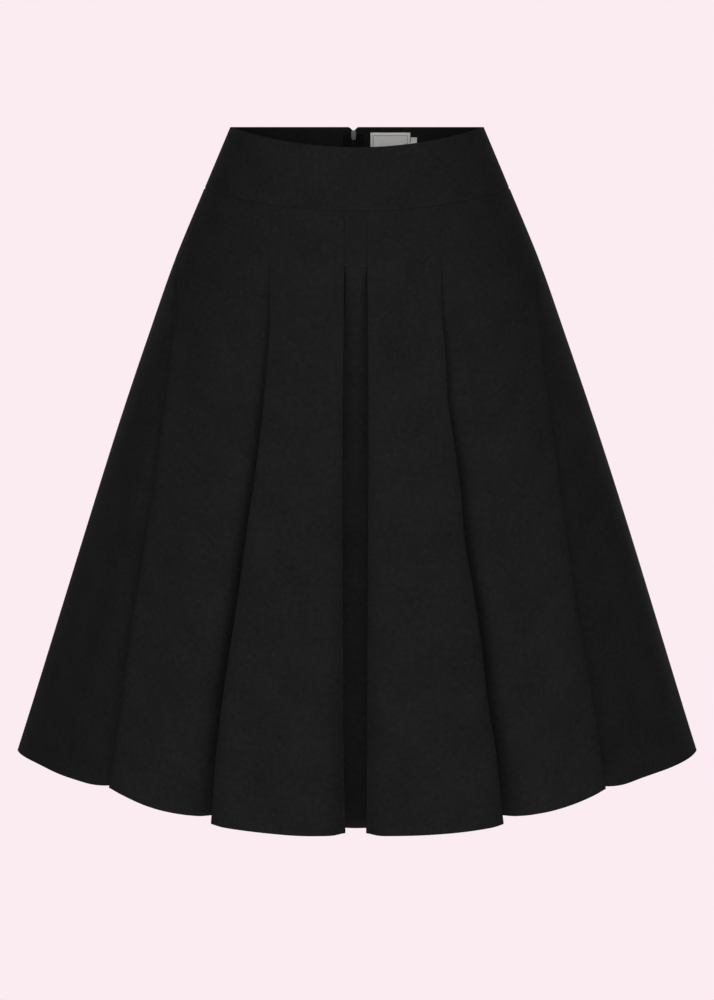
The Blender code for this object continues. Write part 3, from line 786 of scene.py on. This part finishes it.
def repeat_tree():
    """Copies of a small piece along a path, turned along it and to the path's `out` direction."""
    tree = bpy.data.node_groups.new("repeat_along_path", "GeometryNodeTree")
    for label, kind in (
        ("Path", "Geometry"),
        ("Copied piece", "Object"),
        ("Spacing", "Float"),
        ("Unevenness", "Float"),
        ("Finish", "Material"),
    ):
        tree.interface.new_socket(label, in_out="INPUT", socket_type=f"NodeSocket{kind}")
    tree.interface.new_socket("Pieces", in_out="OUTPUT", socket_type="NodeSocketGeometry")
    kinds = {
        "inputs": "NodeGroupInput",
        "result": "NodeGroupOutput",
        "curve": "GeometryNodeMeshToCurve",
        "spaced": "GeometryNodeResampleCurve",
        "copied": "GeometryNodeObjectInfo",
        "out": "GeometryNodeInputNamedAttribute",
        "tangent": "GeometryNodeInputTangent",
        "face_out": "FunctionNodeAlignRotationToVector",
        "run_along": "FunctionNodeAlignRotationToVector",
        "uneven": "FunctionNodeRandomValue",
        "least": "ShaderNodeMath",
        "placed": "GeometryNodeInstanceOnPoints",
        "real": "GeometryNodeRealizeInstances",
        "finish": "GeometryNodeSetMaterial",
    }
    node = {name: tree.nodes.new(kind) for name, kind in kinds.items()}
    node["spaced"].mode = "LENGTH"
    node["out"].data_type = "FLOAT_VECTOR"
    node["out"].inputs["Name"].default_value = "out"
    node["face_out"].axis = "Z"
    node["run_along"].axis, node["run_along"].pivot_axis = "X", "Z"
    node["uneven"].data_type = "FLOAT"
    node["uneven"].inputs["Seed"].default_value = 7
    node["uneven"].inputs[3].default_value = 1
    node["least"].operation = "SUBTRACT"
    node["least"].inputs[0].default_value = 1
    for start, output, end, socket in (
        ("inputs", "Path", "curve", "Mesh"),
        ("curve", "Curve", "spaced", "Curve"),
        ("inputs", "Spacing", "spaced", "Length"),
        ("inputs", "Copied piece", "copied", "Object"),
        ("out", "Attribute", "face_out", "Vector"),
        ("face_out", "Rotation", "run_along", "Rotation"),
        ("tangent", "Tangent", "run_along", "Vector"),
        ("inputs", "Unevenness", "least", 1),
        ("least", 0, "uneven", 2),
        ("spaced", "Curve", "placed", "Points"),
        ("copied", "Geometry", "placed", "Instance"),
        ("run_along", "Rotation", "placed", "Rotation"),
        ("uneven", 1, "placed", "Scale"),
        ("placed", "Instances", "real", "Geometry"),
        ("real", "Geometry", "finish", "Geometry"),
        ("inputs", "Finish", "finish", "Material"),
        ("finish", "Geometry", "result", "Pieces"),
    ):
        tree.links.new(node[start].outputs[output], node[end].inputs[socket])


def repeated(name, paths, copied, spacing, finish, unevenness=0.0):
    """One mesh of a small piece repeated along paths, each a list of places and of outward sides."""
    data = bpy.data.meshes.new(name)
    edges, first = [], 0
    for path, _ in paths:
        edges += [(first + k, first + k + 1) for k in range(len(path) - 1)]
        first += len(path)
    data.from_pydata(np.concatenate([path for path, _ in paths]).tolist(), edges, [])
    attribute = data.attributes.new("out", "FLOAT_VECTOR", "POINT")
    outs = np.concatenate([out for _, out in paths])
    attribute.data.foreach_set("vector", outs.astype(np.float32).ravel())
    carrier = linked(f"{name}_path", data)
    step = carrier.modifiers.new("repeat", "NODES")
    step.node_group = bpy.data.node_groups["repeat_along_path"]
    values = {"Copied piece": copied, "Spacing": spacing, "Unevenness": unevenness, "Finish": finish}
    for item in step.node_group.interface.items_tree:
        if item.name in values:
            step[item.identifier] = values[item.name]
    bpy.context.view_layer.update()
    mesh = bpy.data.meshes.new_from_object(carrier.evaluated_get(bpy.context.evaluated_depsgraph_get()))
    bpy.data.objects.remove(carrier)
    mesh.name = name
    mesh.shade_smooth()
    return linked(name, mesh)


def thread_stitch(length, thickness):
    """A stitch as it lies on cloth, its ends dipping in."""
    mesh = bmesh.new()
    bmesh.ops.create_uvsphere(mesh, u_segments=6, v_segments=5, radius=0.5)
    for vertex in mesh.verts:
        x, y, z = vertex.co
        vertex.co = (z * length, x * thickness, y * thickness)
    return loose_piece("thread_stitch", mesh)


def join_rings(mesh, rings, closed):
    """Faces between each ring of a tube and the next, and from the last to the first if closed."""
    for one, two in zip(rings, rings[1:] + rings[:1] if closed else rings[1:]):
        for k in range(len(one)):
            beyond = (k + 1) % len(one)
            mesh.faces.new((one[k], one[beyond], two[beyond], two[k]))


def coil_tooth():
    """One turn of the coil, a ring across the path."""
    mesh = bmesh.new()
    rings = []
    for k in range(TOOTH_PLACES):
        turn = math.tau * k / TOOTH_PLACES
        y, z = math.cos(turn), math.sin(turn)
        centre = np.array((TOOTH_LEAN * z, (COIL_WIDTH / 2 - COIL_WIRE) * y, TOOTH_HALF_HEIGHT * z))
        round_wire = [math.tau * j / TOOTH_SIDES for j in range(TOOTH_SIDES)]
        away = [np.array((math.sin(b), y * math.cos(b), z * math.cos(b))) for b in round_wire]
        ring = [centre + COIL_WIRE * side for side in away]
        rings.append([mesh.verts.new(place) for place in ring])
    join_rings(mesh, rings, closed=True)
    bmesh.ops.recalc_face_normals(mesh, faces=mesh.faces)
    return loose_piece("coil_tooth", mesh)


def loose_piece(name, mesh):
    """A small piece that is only copied, not in the scene."""
    data = bpy.data.meshes.new(name)
    mesh.to_mesh(data)
    mesh.free()
    return bpy.data.objects.new(name, data)


# ---------------------------------------------------------------- slider and pull

# On the band's slope at the centre back: right halves of outlines as (across, up), places out, sizes
SLIDER_FACE = -BAND_INSET - BAND_THICKNESS / 2 - TAPE_CLOTH - 0.0006
SHIELD = ((0.0014, -0.0024), (0.0025, -0.0044), (0.0026, -0.0085), (0.0019, -0.0118), (0.0012, -0.0124))
WEDGE = ((0.0005, -0.0042), (0.0007, -0.0066))
WEDGE_TIP = (0, -0.0082)
NECK = ((0.0004, -0.0066), (0.0004, -0.0102))
NECK_OUT = 0.0009
BAIL_HEIGHT, BAIL_MIDDLE, BAIL_HALF_LENGTH = 0.0027, -0.0084, 0.00195
BAIL_WIRE = 0.0004
BAIL_SUNK = 0.12  # how far its ends turn on into the neck, in radians
TAB_HANGS = (0.0023, -0.00915)  # the tab's bar, out and up
TAB_HALF_TOP, TAB_HALF_WIDTH, TAB_LENGTH, TAB_THICKNESS = 0.0018, 0.0029, 0.0185, 0.0009
TAB_BAR = 0.00045
WINDOW_HALF_WIDTH, WINDOW_LENGTH = 0.0009, 0.0043
RAISED_SHARE, RAISED_MIDDLE, RAISED_TOP = 0.62, -0.0122, -0.0062  # the raised middle of the tab


def sloped():
    """From places on the band's slope at the centre back (across, out, up) to the frame's."""
    return Matrix.Translation((CENTRE_BACK_X, WAIST_HALF_DEPTH, 0)) @ Matrix.Rotation(SLOPE, 4, "X")


def both_sides(half, tip=()):
    """A closed outline from its right half, top to bottom, and what lies between the halves."""
    mirrored = [(-x, z) for x, z in half]
    return [mirrored[0], *half, *tip, *mirrored[:0:-1]]


def plate(mesh, outline, near, far, bevel):
    """A flat piece with rounded edges: its outline as (across, up), between two distances out."""
    verts = [mesh.verts.new((x, near, z)) for x, z in outline]
    grown = bmesh.ops.extrude_face_region(mesh, geom=[mesh.faces.new(verts)])["geom"]
    moved = [item for item in grown if isinstance(item, bmesh.types.BMVert)]
    bmesh.ops.translate(mesh, verts=moved, vec=(0, far - near, 0))
    everything = set(verts) | set(moved)
    edges = [
        edge
        for edge in mesh.edges
        if set(edge.verts) <= everything and abs(edge.verts[0].co.y - edge.verts[1].co.y) < 1e-6
    ]
    bmesh.ops.bevel(mesh, geom=edges, offset=bevel, segments=3, profile=0.5, affect="EDGES")


def tube(mesh, path, radius, sides=10):
    """A round bar along a path, its ends closed."""
    path = np.array(path, float)
    tangent = unit(np.gradient(path, axis=0))
    across = np.array((1.0, 0.0, 0.0)) if abs(tangent[0, 0]) < 0.9 else np.array((0.0, 1.0, 0.0))
    turns = [math.tau * k / sides for k in range(sides)]
    rings = []
    for place, along in zip(path, tangent):
        one = unit(across - along * (across @ along))
        two = np.cross(along, one)
        ring = [place + radius * (one * math.cos(t) + two * math.sin(t)) for t in turns]
        rings.append([mesh.verts.new(corner) for corner in ring])
    join_rings(mesh, rings, closed=False)
    mesh.faces.new(rings[0][::-1])
    mesh.faces.new(rings[-1])


def metal_piece(name, mesh):
    bmesh.ops.transform(mesh, matrix=sloped(), verts=mesh.verts)
    bmesh.ops.recalc_face_normals(mesh, faces=mesh.faces)
    data = bpy.data.meshes.new(name)
    mesh.to_mesh(data)
    mesh.free()
    data.shade_smooth()
    data.set_sharp_from_angle(angle=math.radians(50))
    return linked(name, data)


def zip_slider():
    """A shield-shaped body inside, its flanges round the coil, a neck and the bail outside."""
    mesh = bmesh.new()
    shield = both_sides(SHIELD)
    wedge = both_sides(WEDGE, [WEDGE_TIP])
    for outline, near, far, bevel in (
        (shield, SLIDER_FACE - 0.0024, SLIDER_FACE - 0.0015, 0.0003),
        (shield, SLIDER_FACE - 0.0008, SLIDER_FACE, 0.00025),
        (wedge, SLIDER_FACE - 0.0018, SLIDER_FACE - 0.0004, 0.0001),
        (both_sides(NECK), SLIDER_FACE - 0.0003, NECK_OUT, 0.00012),
    ):
        plate(mesh, outline, near, far, bevel)
    turns = np.linspace(-BAIL_SUNK, math.pi + BAIL_SUNK, 15)
    bail = [
        (0, NECK_OUT + BAIL_HEIGHT * math.sin(t), BAIL_MIDDLE + BAIL_HALF_LENGTH * math.cos(t))
        for t in turns
    ]
    tube(mesh, bail, BAIL_WIRE)
    return metal_piece("zip_slider_body", mesh)


def zip_pull():
    """A drop-shaped tab with a raised middle, its window and the bar that hangs in the bail."""
    mesh = bmesh.new()
    to_tip = TAB_HALF_WIDTH - TAB_LENGTH
    turns = np.linspace(0, math.pi, 17)
    tip = [(TAB_HALF_WIDTH * math.cos(t), to_tip - TAB_HALF_WIDTH * math.sin(t)) for t in turns]
    outline = [(TAB_HALF_TOP, 0.0), (TAB_HALF_TOP, -WINDOW_LENGTH), *tip]
    outline += [(-TAB_HALF_TOP, -WINDOW_LENGTH), (-TAB_HALF_TOP, 0.0)]
    outline += [(-WINDOW_HALF_WIDTH, 0.0), (-WINDOW_HALF_WIDTH, -WINDOW_LENGTH)]
    outline += [(WINDOW_HALF_WIDTH, -WINDOW_LENGTH), (WINDOW_HALF_WIDTH, 0.0)]
    plate(mesh, outline, -TAB_THICKNESS / 2, TAB_THICKNESS / 2, 0.00022)
    rim = [(RAISED_SHARE * x, RAISED_SHARE * (z - RAISED_MIDDLE) + RAISED_MIDDLE) for x, z in tip]
    rim += [(-WINDOW_HALF_WIDTH, RAISED_TOP), (WINDOW_HALF_WIDTH, RAISED_TOP)]
    plate(mesh, rim[::-1], TAB_THICKNESS / 2 - 0.0001, TAB_THICKNESS / 2 + 0.00012, 0.0001)
    bar_end = TAB_HALF_TOP - 0.00015
    tube(mesh, [(-bar_end, 0, 0), (0, 0, 0), (bar_end, 0, 0)], TAB_BAR, sides=12)
    bmesh.ops.translate(mesh, verts=mesh.verts, vec=(0, *TAB_HANGS))
    return metal_piece("zip_pull_tab", mesh)


# ---------------------------------------------------------------- materials


def effect_group(name, inputs, outputs):
    """A shader node group with these number inputs and outputs, and its two ends."""
    group = bpy.data.node_groups.new(name, "ShaderNodeTree")
    for label, default in inputs.items():
        made = group.interface.new_socket(label, in_out="INPUT", socket_type="NodeSocketFloat")
        made.default_value = default
    group.interface.new_socket("Place", in_out="INPUT", socket_type="NodeSocketVector")
    for label in outputs:
        group.interface.new_socket(label, in_out="OUTPUT", socket_type="NodeSocketFloat")
    return group, group.nodes.new("NodeGroupInput"), group.nodes.new("NodeGroupOutput")


def calc(tree, operation, *values):
    """The result of a Math node on numbers or sockets."""
    node = tree.nodes.new("ShaderNodeMath")
    node.operation = operation
    for socket, value in zip(node.inputs, values):
        if isinstance(value, (int, float)):
            socket.default_value = value
        else:
            tree.links.new(value, socket)
    return node.outputs[0]


def noise(tree, place, scale, detail=2.0, stretch=None):
    if stretch:
        scaled = tree.nodes.new("ShaderNodeMapping")
        scaled.inputs["Scale"].default_value = stretch
        tree.links.new(place, scaled.inputs["Vector"])
        place = scaled.outputs["Vector"]
    node = tree.nodes.new("ShaderNodeTexNoise")
    node.inputs["Scale"].default_value = scale
    node.inputs["Detail"].default_value = detail
    tree.links.new(place, node.inputs["Vector"])
    return node.outputs["Fac"]


def weave_group():
    """Plain weave of crossing threads, with slubs, a cloudy tone and pale neps."""
    group, inputs, result = effect_group(
        "weave", {"Thread": 0.0005, "Clouds": 0.2, "Neps": 0.3}, ("Height", "Tone")
    )
    do = partial(calc, group)
    place, width, clouds, neps = (inputs.outputs[name] for name in ("Place", "Thread", "Clouds", "Neps"))
    apart = group.nodes.new("ShaderNodeSeparateXYZ")
    group.links.new(place, apart.inputs[0])
    across, down = (do("DIVIDE", apart.outputs[k], width) for k in (0, 1))
    warp, weft = (do("ABSOLUTE", do("SINE", do("MULTIPLY", run, math.pi))) for run in (across, down))
    over = do("ABSOLUTE", do("MODULO", do("ADD", do("FLOOR", across), do("FLOOR", down)), 2.0))
    threads = do("ADD", do("MULTIPLY", warp, over), do("MULTIPLY", weft, do("SUBTRACT", 1.0, over)))
    slubs = do("ADD", *(noise(group, place, 1.0, 1.0, size) for size in ((1400, 130, 1), (130, 1400, 1))))
    group.links.new(do("ADD", threads, do("MULTIPLY", slubs, 0.8)), result.inputs["Height"])
    fine = do("SUBTRACT", noise(group, place, 210.0, 4.0), 0.5)
    broad = do("SUBTRACT", noise(group, place, 26.0, 2.0), 0.5)
    cloudy = do("ADD", fine, do("MULTIPLY", broad, 0.6))
    thread_tone = do("MULTIPLY", do("SUBTRACT", slubs, 1.0), 0.35)
    fleck = do("SUBTRACT", noise(group, place, 420.0, 0.0), 0.74)
    flecks = do("MULTIPLY", do("MAXIMUM", fleck, 0.0), 12.0)
    tone = 0.5
    for part, amount in ((cloudy, clouds), (thread_tone, clouds), (flecks, neps)):
        tone = do("ADD", tone, do("MULTIPLY", part, amount))
    group.links.new(tone, result.inputs["Tone"])


def wear_group():
    """Fine scratches and worn patches of coated metal."""
    group, inputs, result = effect_group("wear", {"Amount": 0.5}, ("Patches", "Scratches"))
    place = inputs.outputs["Place"]
    do = partial(calc, group)
    patches = do("MAXIMUM", do("SUBTRACT", noise(group, place, 900.0, 3.0), 0.52), 0.0)
    patches = do("MULTIPLY", do("MULTIPLY", patches, 6.0), inputs.outputs["Amount"])
    group.links.new(patches, result.inputs["Patches"])
    group.links.new(noise(group, place, 1.0, 1.0, (6000, 6000, 500)), result.inputs["Scratches"])


def finish(name, roughness, metallic=0.0, specular=0.5, sheen=0.0):
    """A new material with these plain values, and its tree and shader."""
    made = bpy.data.materials.new(name)
    made.use_nodes = True
    shader = made.node_tree.nodes["Principled BSDF"]
    shader.inputs["Roughness"].default_value = roughness
    shader.inputs["Metallic"].default_value = metallic
    shader.inputs["Specular IOR Level"].default_value = specular
    shader.inputs["Sheen Weight"].default_value = sheen
    return made, made.node_tree, shader


def effect(tree, group, place, **values):
    node = tree.nodes.new("ShaderNodeGroup")
    node.node_tree = bpy.data.node_groups[group]
    tree.links.new(place, node.inputs["Place"])
    for label, value in values.items():
        node.inputs[label].default_value = value
    return node.outputs


def uv_place(tree):
    node = tree.nodes.new("ShaderNodeUVMap")
    node.uv_map = "cloth"
    return node.outputs["UV"]


def object_place(tree):
    return tree.nodes.new("ShaderNodeTexCoord").outputs["Object"]


def tinted(tree, shader, tone, dark, light):
    """The shader's colour between two, by the tone from 0 to 1."""
    node = tree.nodes.new("ShaderNodeMix")
    node.data_type = "RGBA"
    node.inputs[6].default_value = (*dark, 1)
    node.inputs[7].default_value = (*light, 1)
    tree.links.new(tone, node.inputs[0])
    tree.links.new(node.outputs[2], shader.inputs["Base Color"])


def raised(tree, shader, height, strength, distance):
    node = tree.nodes.new("ShaderNodeBump")
    node.inputs["Strength"].default_value = strength
    node.inputs["Distance"].default_value = distance
    tree.links.new(height, node.inputs["Height"])
    tree.links.new(node.outputs["Normal"], shader.inputs["Normal"])


def suiting(name, dark, light, thread=0.0005):
    made, tree, shader = finish(name, 0.9, specular=0.03)
    weave = effect(tree, "weave", uv_place(tree), Thread=thread, Clouds=0.7, Neps=0.3)
    tinted(tree, shader, weave["Tone"], dark, light)
    raised(tree, shader, weave["Height"], 0.5, 0.00012)
    return made


def satin(name, framed):
    """Off-white satin, with a thin woven frame line on the label."""
    made, tree, shader = finish(name, 0.5, specular=0.4, sheen=0.1)
    place = uv_place(tree)
    do = partial(calc, tree)
    weave = effect(tree, "weave", place, Thread=0.00022, Clouds=0.5, Neps=0.0)
    tone = do("MULTIPLY_ADD", weave["Tone"], 0.3, 0.7)
    if framed:
        apart = tree.nodes.new("ShaderNodeSeparateXYZ")
        tree.links.new(place, apart.inputs[0])
        left, right, top, bottom = TAGS["label"]
        beyond = []
        for k, half in enumerate(((right - left) / 2, (bottom - top) / 2)):
            off_centre = do("ABSOLUTE", do("SUBTRACT", apart.outputs[k], half))
            beyond.append(do("SUBTRACT", off_centre, half - BORDER_INSET))
        line = do("LESS_THAN", do("ABSOLUTE", do("MAXIMUM", *beyond)), BORDER_HALF_WIDTH)
        tone = do("SUBTRACT", tone, do("MULTIPLY", line, 0.75))
    tinted(tree, shader, tone, (0.3, 0.29, 0.28), (0.97, 0.96, 0.94))
    raised(tree, shader, weave["Height"], 0.4, 0.00005)
    return made


def thread(name, dark, light):
    made, tree, shader = finish(name, 0.6, specular=0.3, sheen=0.05)
    twist = noise(tree, object_place(tree), 1.0, 1.0, (3000, 3000, 3000))
    tinted(tree, shader, twist, dark, light)
    raised(tree, shader, twist, 0.4, 0.00008)
    return made


def coil_nylon():
    made, tree, shader = finish("coil_nylon", 0.4, specular=0.4)
    grain = noise(tree, object_place(tree), 2500.0, 2.0)
    tinted(tree, shader, grain, (0.008, 0.008, 0.0085), (0.02, 0.02, 0.021))
    raised(tree, shader, grain, 0.2, 0.00003)
    return made


def zip_metal():
    made, tree, shader = finish("zip_metal", 0.45, metallic=0.35)
    worn = effect(tree, "wear", object_place(tree), Amount=0.7)
    tinted(tree, shader, worn["Patches"], (0.2, 0.2, 0.205), (0.42, 0.41, 0.4))
    raised(tree, shader, worn["Scratches"], 0.15, 0.00003)
    return made


# ---------------------------------------------------------------- studio

CAMERA_BACK = 3.2
CAMERA_PITCH = math.radians(6.694)
LENS = 114.41
FLOOR_HEIGHT = -1.6
FLOOR_HALF_WIDTH = 30
BACKDROP = (0.965, 0.838, 0.880)
AMBIENT = 0.12
LAMPS = {
    # strength, turned from the front, height, softness, in degrees
    "front": (1.55, 0, -4, 80),
    "left": (0.62, -40, 0, 45),
    "right": (0.62, 40, 0, 45),
    "back": (2.2, 180, 8, 85),
}


def camera():
    data = bpy.data.cameras.new("camera")
    data.lens = LENS
    data.sensor_width = 36
    data.clip_end = 100
    made = linked("camera", data)
    made.location = (0, -CAMERA_BACK, 0)
    made.rotation_euler = (math.pi / 2 - CAMERA_PITCH, 0, 0)
    bpy.context.scene.camera = made


def lit_world(ambient, seen):
    """Even light from all round, and the backdrop's colour where the camera sees past the floor."""
    world = bpy.data.worlds.new("studio")
    world.use_nodes = True
    nodes, links = world.node_tree.nodes, world.node_tree.links
    nodes.clear()
    light, backdrop, choose, path, output = (
        nodes.new(f"ShaderNode{kind}")
        for kind in ("Background", "Background", "MixShader", "LightPath", "OutputWorld")
    )
    light.inputs["Color"].default_value = (1, 1, 1, 1)
    light.inputs["Strength"].default_value = ambient
    backdrop.inputs["Color"].default_value = (*seen, 1)
    links.new(path.outputs["Is Camera Ray"], choose.inputs[0])
    links.new(light.outputs[0], choose.inputs[1])
    links.new(backdrop.outputs[0], choose.inputs[2])
    links.new(choose.outputs[0], output.inputs["Surface"])
    return world


def pale_floor():
    """A wide paper floor, evenly lit, that throws no light of its own on the object and doesn't hide
    it from below."""
    mesh = bpy.data.meshes.new("floor")
    half = FLOOR_HALF_WIDTH
    corners = [(-half, -half), (half, -half), (half, half), (-half, half)]
    mesh.from_pydata([(x, y, FLOOR_HEIGHT) for x, y in corners], [], [(0, 1, 2, 3)])
    paper, tree, shader = finish("floor_paper", 1.0, specular=0.0)
    shader.inputs["Base Color"].default_value = (0, 0, 0, 1)
    shader.inputs["Emission Color"].default_value = (*BACKDROP, 1)
    shader.inputs["Emission Strength"].default_value = 1.0
    clear, side, choose = (
        tree.nodes.new(f"ShaderNode{kind}") for kind in ("BsdfTransparent", "NewGeometry", "MixShader")
    )
    tree.links.new(side.outputs["Backfacing"], choose.inputs[0])
    tree.links.new(shader.outputs[0], choose.inputs[1])
    tree.links.new(clear.outputs[0], choose.inputs[2])
    tree.links.new(choose.outputs[0], tree.nodes["Material Output"].inputs["Surface"])
    mesh.materials.append(paper)
    floor = linked("floor", mesh)
    floor.visible_diffuse = floor.visible_glossy = floor.visible_shadow = False


def lamps():
    """Large soft lights from the front, from both sides of it and from behind."""
    for name, (strength, turned, height, softness) in LAMPS.items():
        data = bpy.data.lights.new(name, "SUN")
        data.energy = strength
        data.angle = math.radians(softness)
        made = linked(name, data)
        made.rotation_euler = (math.radians(90 - height), 0, math.radians(turned))


# ---------------------------------------------------------------- putting it together


def given(piece, material, body, nodes=()):
    """Gives a piece its material and body, and hides the CAD nodes that it stands for."""
    if material:
        piece.data.materials.clear()
        piece.data.materials.append(material)
    if nodes:
        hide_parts(*nodes)
    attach(piece, body)
    return piece


def cut_size(grid):
    """The flat width, length and area of a panel, read along its cloth."""
    across = np.linalg.norm(np.diff(grid, axis=1), axis=2)
    down = np.linalg.norm(np.diff(grid, axis=0), axis=2)
    one, two = grid[1:, 1:] - grid[:-1, :-1], grid[1:, :-1] - grid[:-1, 1:]
    area = np.linalg.norm(np.cross(one, two), axis=2).sum() / 2
    return across.sum(axis=1).max(), down.sum(axis=0).max(), area


def zip_sides(tape_cloth, nylon):
    """The zip's two tapes and rows of coil."""
    for name, side in (("left", -1), ("right", 1)):
        piece = shell(f"zip_tape_{name}_strip", *tape(side), TAPE_CLOTH)
        given(piece, tape_cloth, "skirt", [f"zip_tape_{name}"])
        lift = UNDER_GAP + TAPE_CLOTH + COIL_LIFT
        places, inward = zip_line(CENTRE_BACK_X + side * (COIL_WIDTH / 2 + COIL_APART), lift)
        below = np.cumsum(np.r_[0, np.linalg.norm(np.diff(places, axis=0), axis=1)])
        kept = below > COIL_TOP - TAPE_TOP
        row = [(places[kept], inward[kept])]
        piece = repeated(f"zip_coil_{name}_teeth", row, coil_tooth(), COIL_PITCH, nylon)
        given(piece, None, "skirt", [f"zip_coil_{name}"])


def build_object():
    bpy.context.scene.view_settings.view_transform = "Standard"
    weave_group()
    wear_group()
    repeat_tree()
    cloth = suiting("skirt_suiting", (0.0062, 0.0061, 0.0062), (0.0215, 0.0213, 0.0215))
    tape_cloth = suiting("tape_weave", (0.004, 0.004, 0.0042), (0.012, 0.012, 0.0125), 0.0004)
    black_thread = thread("black_thread", (0.004, 0.004, 0.004), (0.014, 0.014, 0.014))
    white_thread = thread("white_thread", (0.5, 0.49, 0.47), (0.8, 0.79, 0.77))
    satins = {name: satin(f"{name}_satin", name == "label") for name in TAGS}
    nylon = coil_nylon()
    metal = zip_metal()
    grids = {
        **cut_panels("skirt", quarter_grid, BAND_DROP, CLOTH, hem_layer, 4),
        **cut_panels("waistband", band_quarter, 0.0, BAND_THICKNESS, lambda uv: 0.0, 8),
    }
    cloths = {
        node: given(shell(f"{node}_cloth", *sizes), cloth, "skirt", [node])
        for node, sizes in grids.items()
    }
    zip_sides(tape_cloth, nylon)
    for piece in allowances(grids):
        given(piece, cloth, "skirt")
    given(zip_slider(), metal, "skirt", ["zip_slider"])
    given(zip_pull(), metal, "pull_tab", ["zip_pull"])
    tags = [
        given(shell(f"{name}_satin", *tag(name), TAG_CLOTH), satins[name], "skirt", [name])
        for name in TAGS
    ]
    stitching(grids, black_thread, white_thread)
    declare_sheets(grids, cloths)


def sewn(name, paths, colour, unevenness=0.0):
    """A row or more of stitches along paths."""
    length, thickness, spacing = STITCHES[name]
    stitch = thread_stitch(length, thickness)
    given(repeated(name, paths, stitch, spacing, colour, unevenness), None, "skirt")


def stitching(grids, black_thread, white_thread):
    """Blind stitches of the hem, bar tacks of the pleats, and the zip's and label's stitches."""
    hem = []
    for node in ("skirt_front", "skirt_back_left", "skirt_back_right"):
        grid, uv, thickness, *_ = grids[node]
        normal = grid_normals(grid)
        to_edge = uv[-1:, :, 1] - uv[..., 1]
        row = int(np.argmin(np.abs(to_edge[:, 0] - HEM_TURN_UP)))
        hem.append((grid[row] - normal[row] * (thickness / 2 + BLIND_LIFT), -normal[row]))
    sewn("hem_stitches", hem, black_thread, 0.3)

    lift = UNDER_GAP + TAPE_CLOTH + STITCH_LIFT
    seams = [zip_line(CENTRE_BACK_X + side * x, lift) for side in (-1, 1) for x in TAPE_SEAMS]
    sewn("zip_tape_stitches", seams, black_thread)

    left, right, top, bottom = TAGS["label"]
    rows = []
    for x in (left + LABEL_SEAM_INSET, right - LABEL_SEAM_INSET):
        down = np.linspace(top + 0.0008, bottom - 0.0008, 12)
        face, out = band_inner_face(np.array([x - 0.001, x, x + 0.001]), down)
        rows.append(((face - out * LABEL_LIFT)[:, 1], -out[:, 1]))
    sewn("label_stitches", rows, white_thread)
    sewn("bar_tacks", bar_tacks(), black_thread)


def bar_tacks():
    """A short level line across each pleat's edge where it opens, and its outward side."""
    made = []
    for (part, side), wander in WANDER.items():
        turned = np.array((side, -1 if part == "front" else 1))
        for name, ends, x in RELEASES:
            if name not in wander:
                continue
            share = ends + TACK_BELOW
            line = base_line(share)
            edge = line.along_at(x) + smooth_row(wander[name], share)[0] / 1000
            reach = np.linspace(-TACK_HALF_WIDTH, TACK_HALF_WIDTH, 7) + edge
            places = line.place(reach, np.full(len(reach), CLOTH / 2))
            out = line.place(reach, np.full(len(reach), 1.0)) - line.place(reach, np.zeros(len(reach)))
            drop = seam_height(np.array([x]), turned[1])[0] - share * SKIRT_LENGTH * SLANT
            level = np.full(len(reach), drop)
            path = np.column_stack([places * turned, level])
            made.append((path, np.column_stack([out * turned, np.zeros(len(reach))])))
    return made


def declare_sheets(grids, cloths):
    """Works out the flat size of each cloth piece as it was cut, the hem's turn-up added, and keeps none
    of it.
    """
    for node, piece in cloths.items():
        width, length, area = cut_size(grids[node][0])
        if node.startswith("skirt"):
            area += width * HEM_TURN_UP
            length += HEM_TURN_UP


camera()
bpy.context.scene.world = lit_world(AMBIENT, BACKDROP)
pale_floor()
lamps()
build_object()
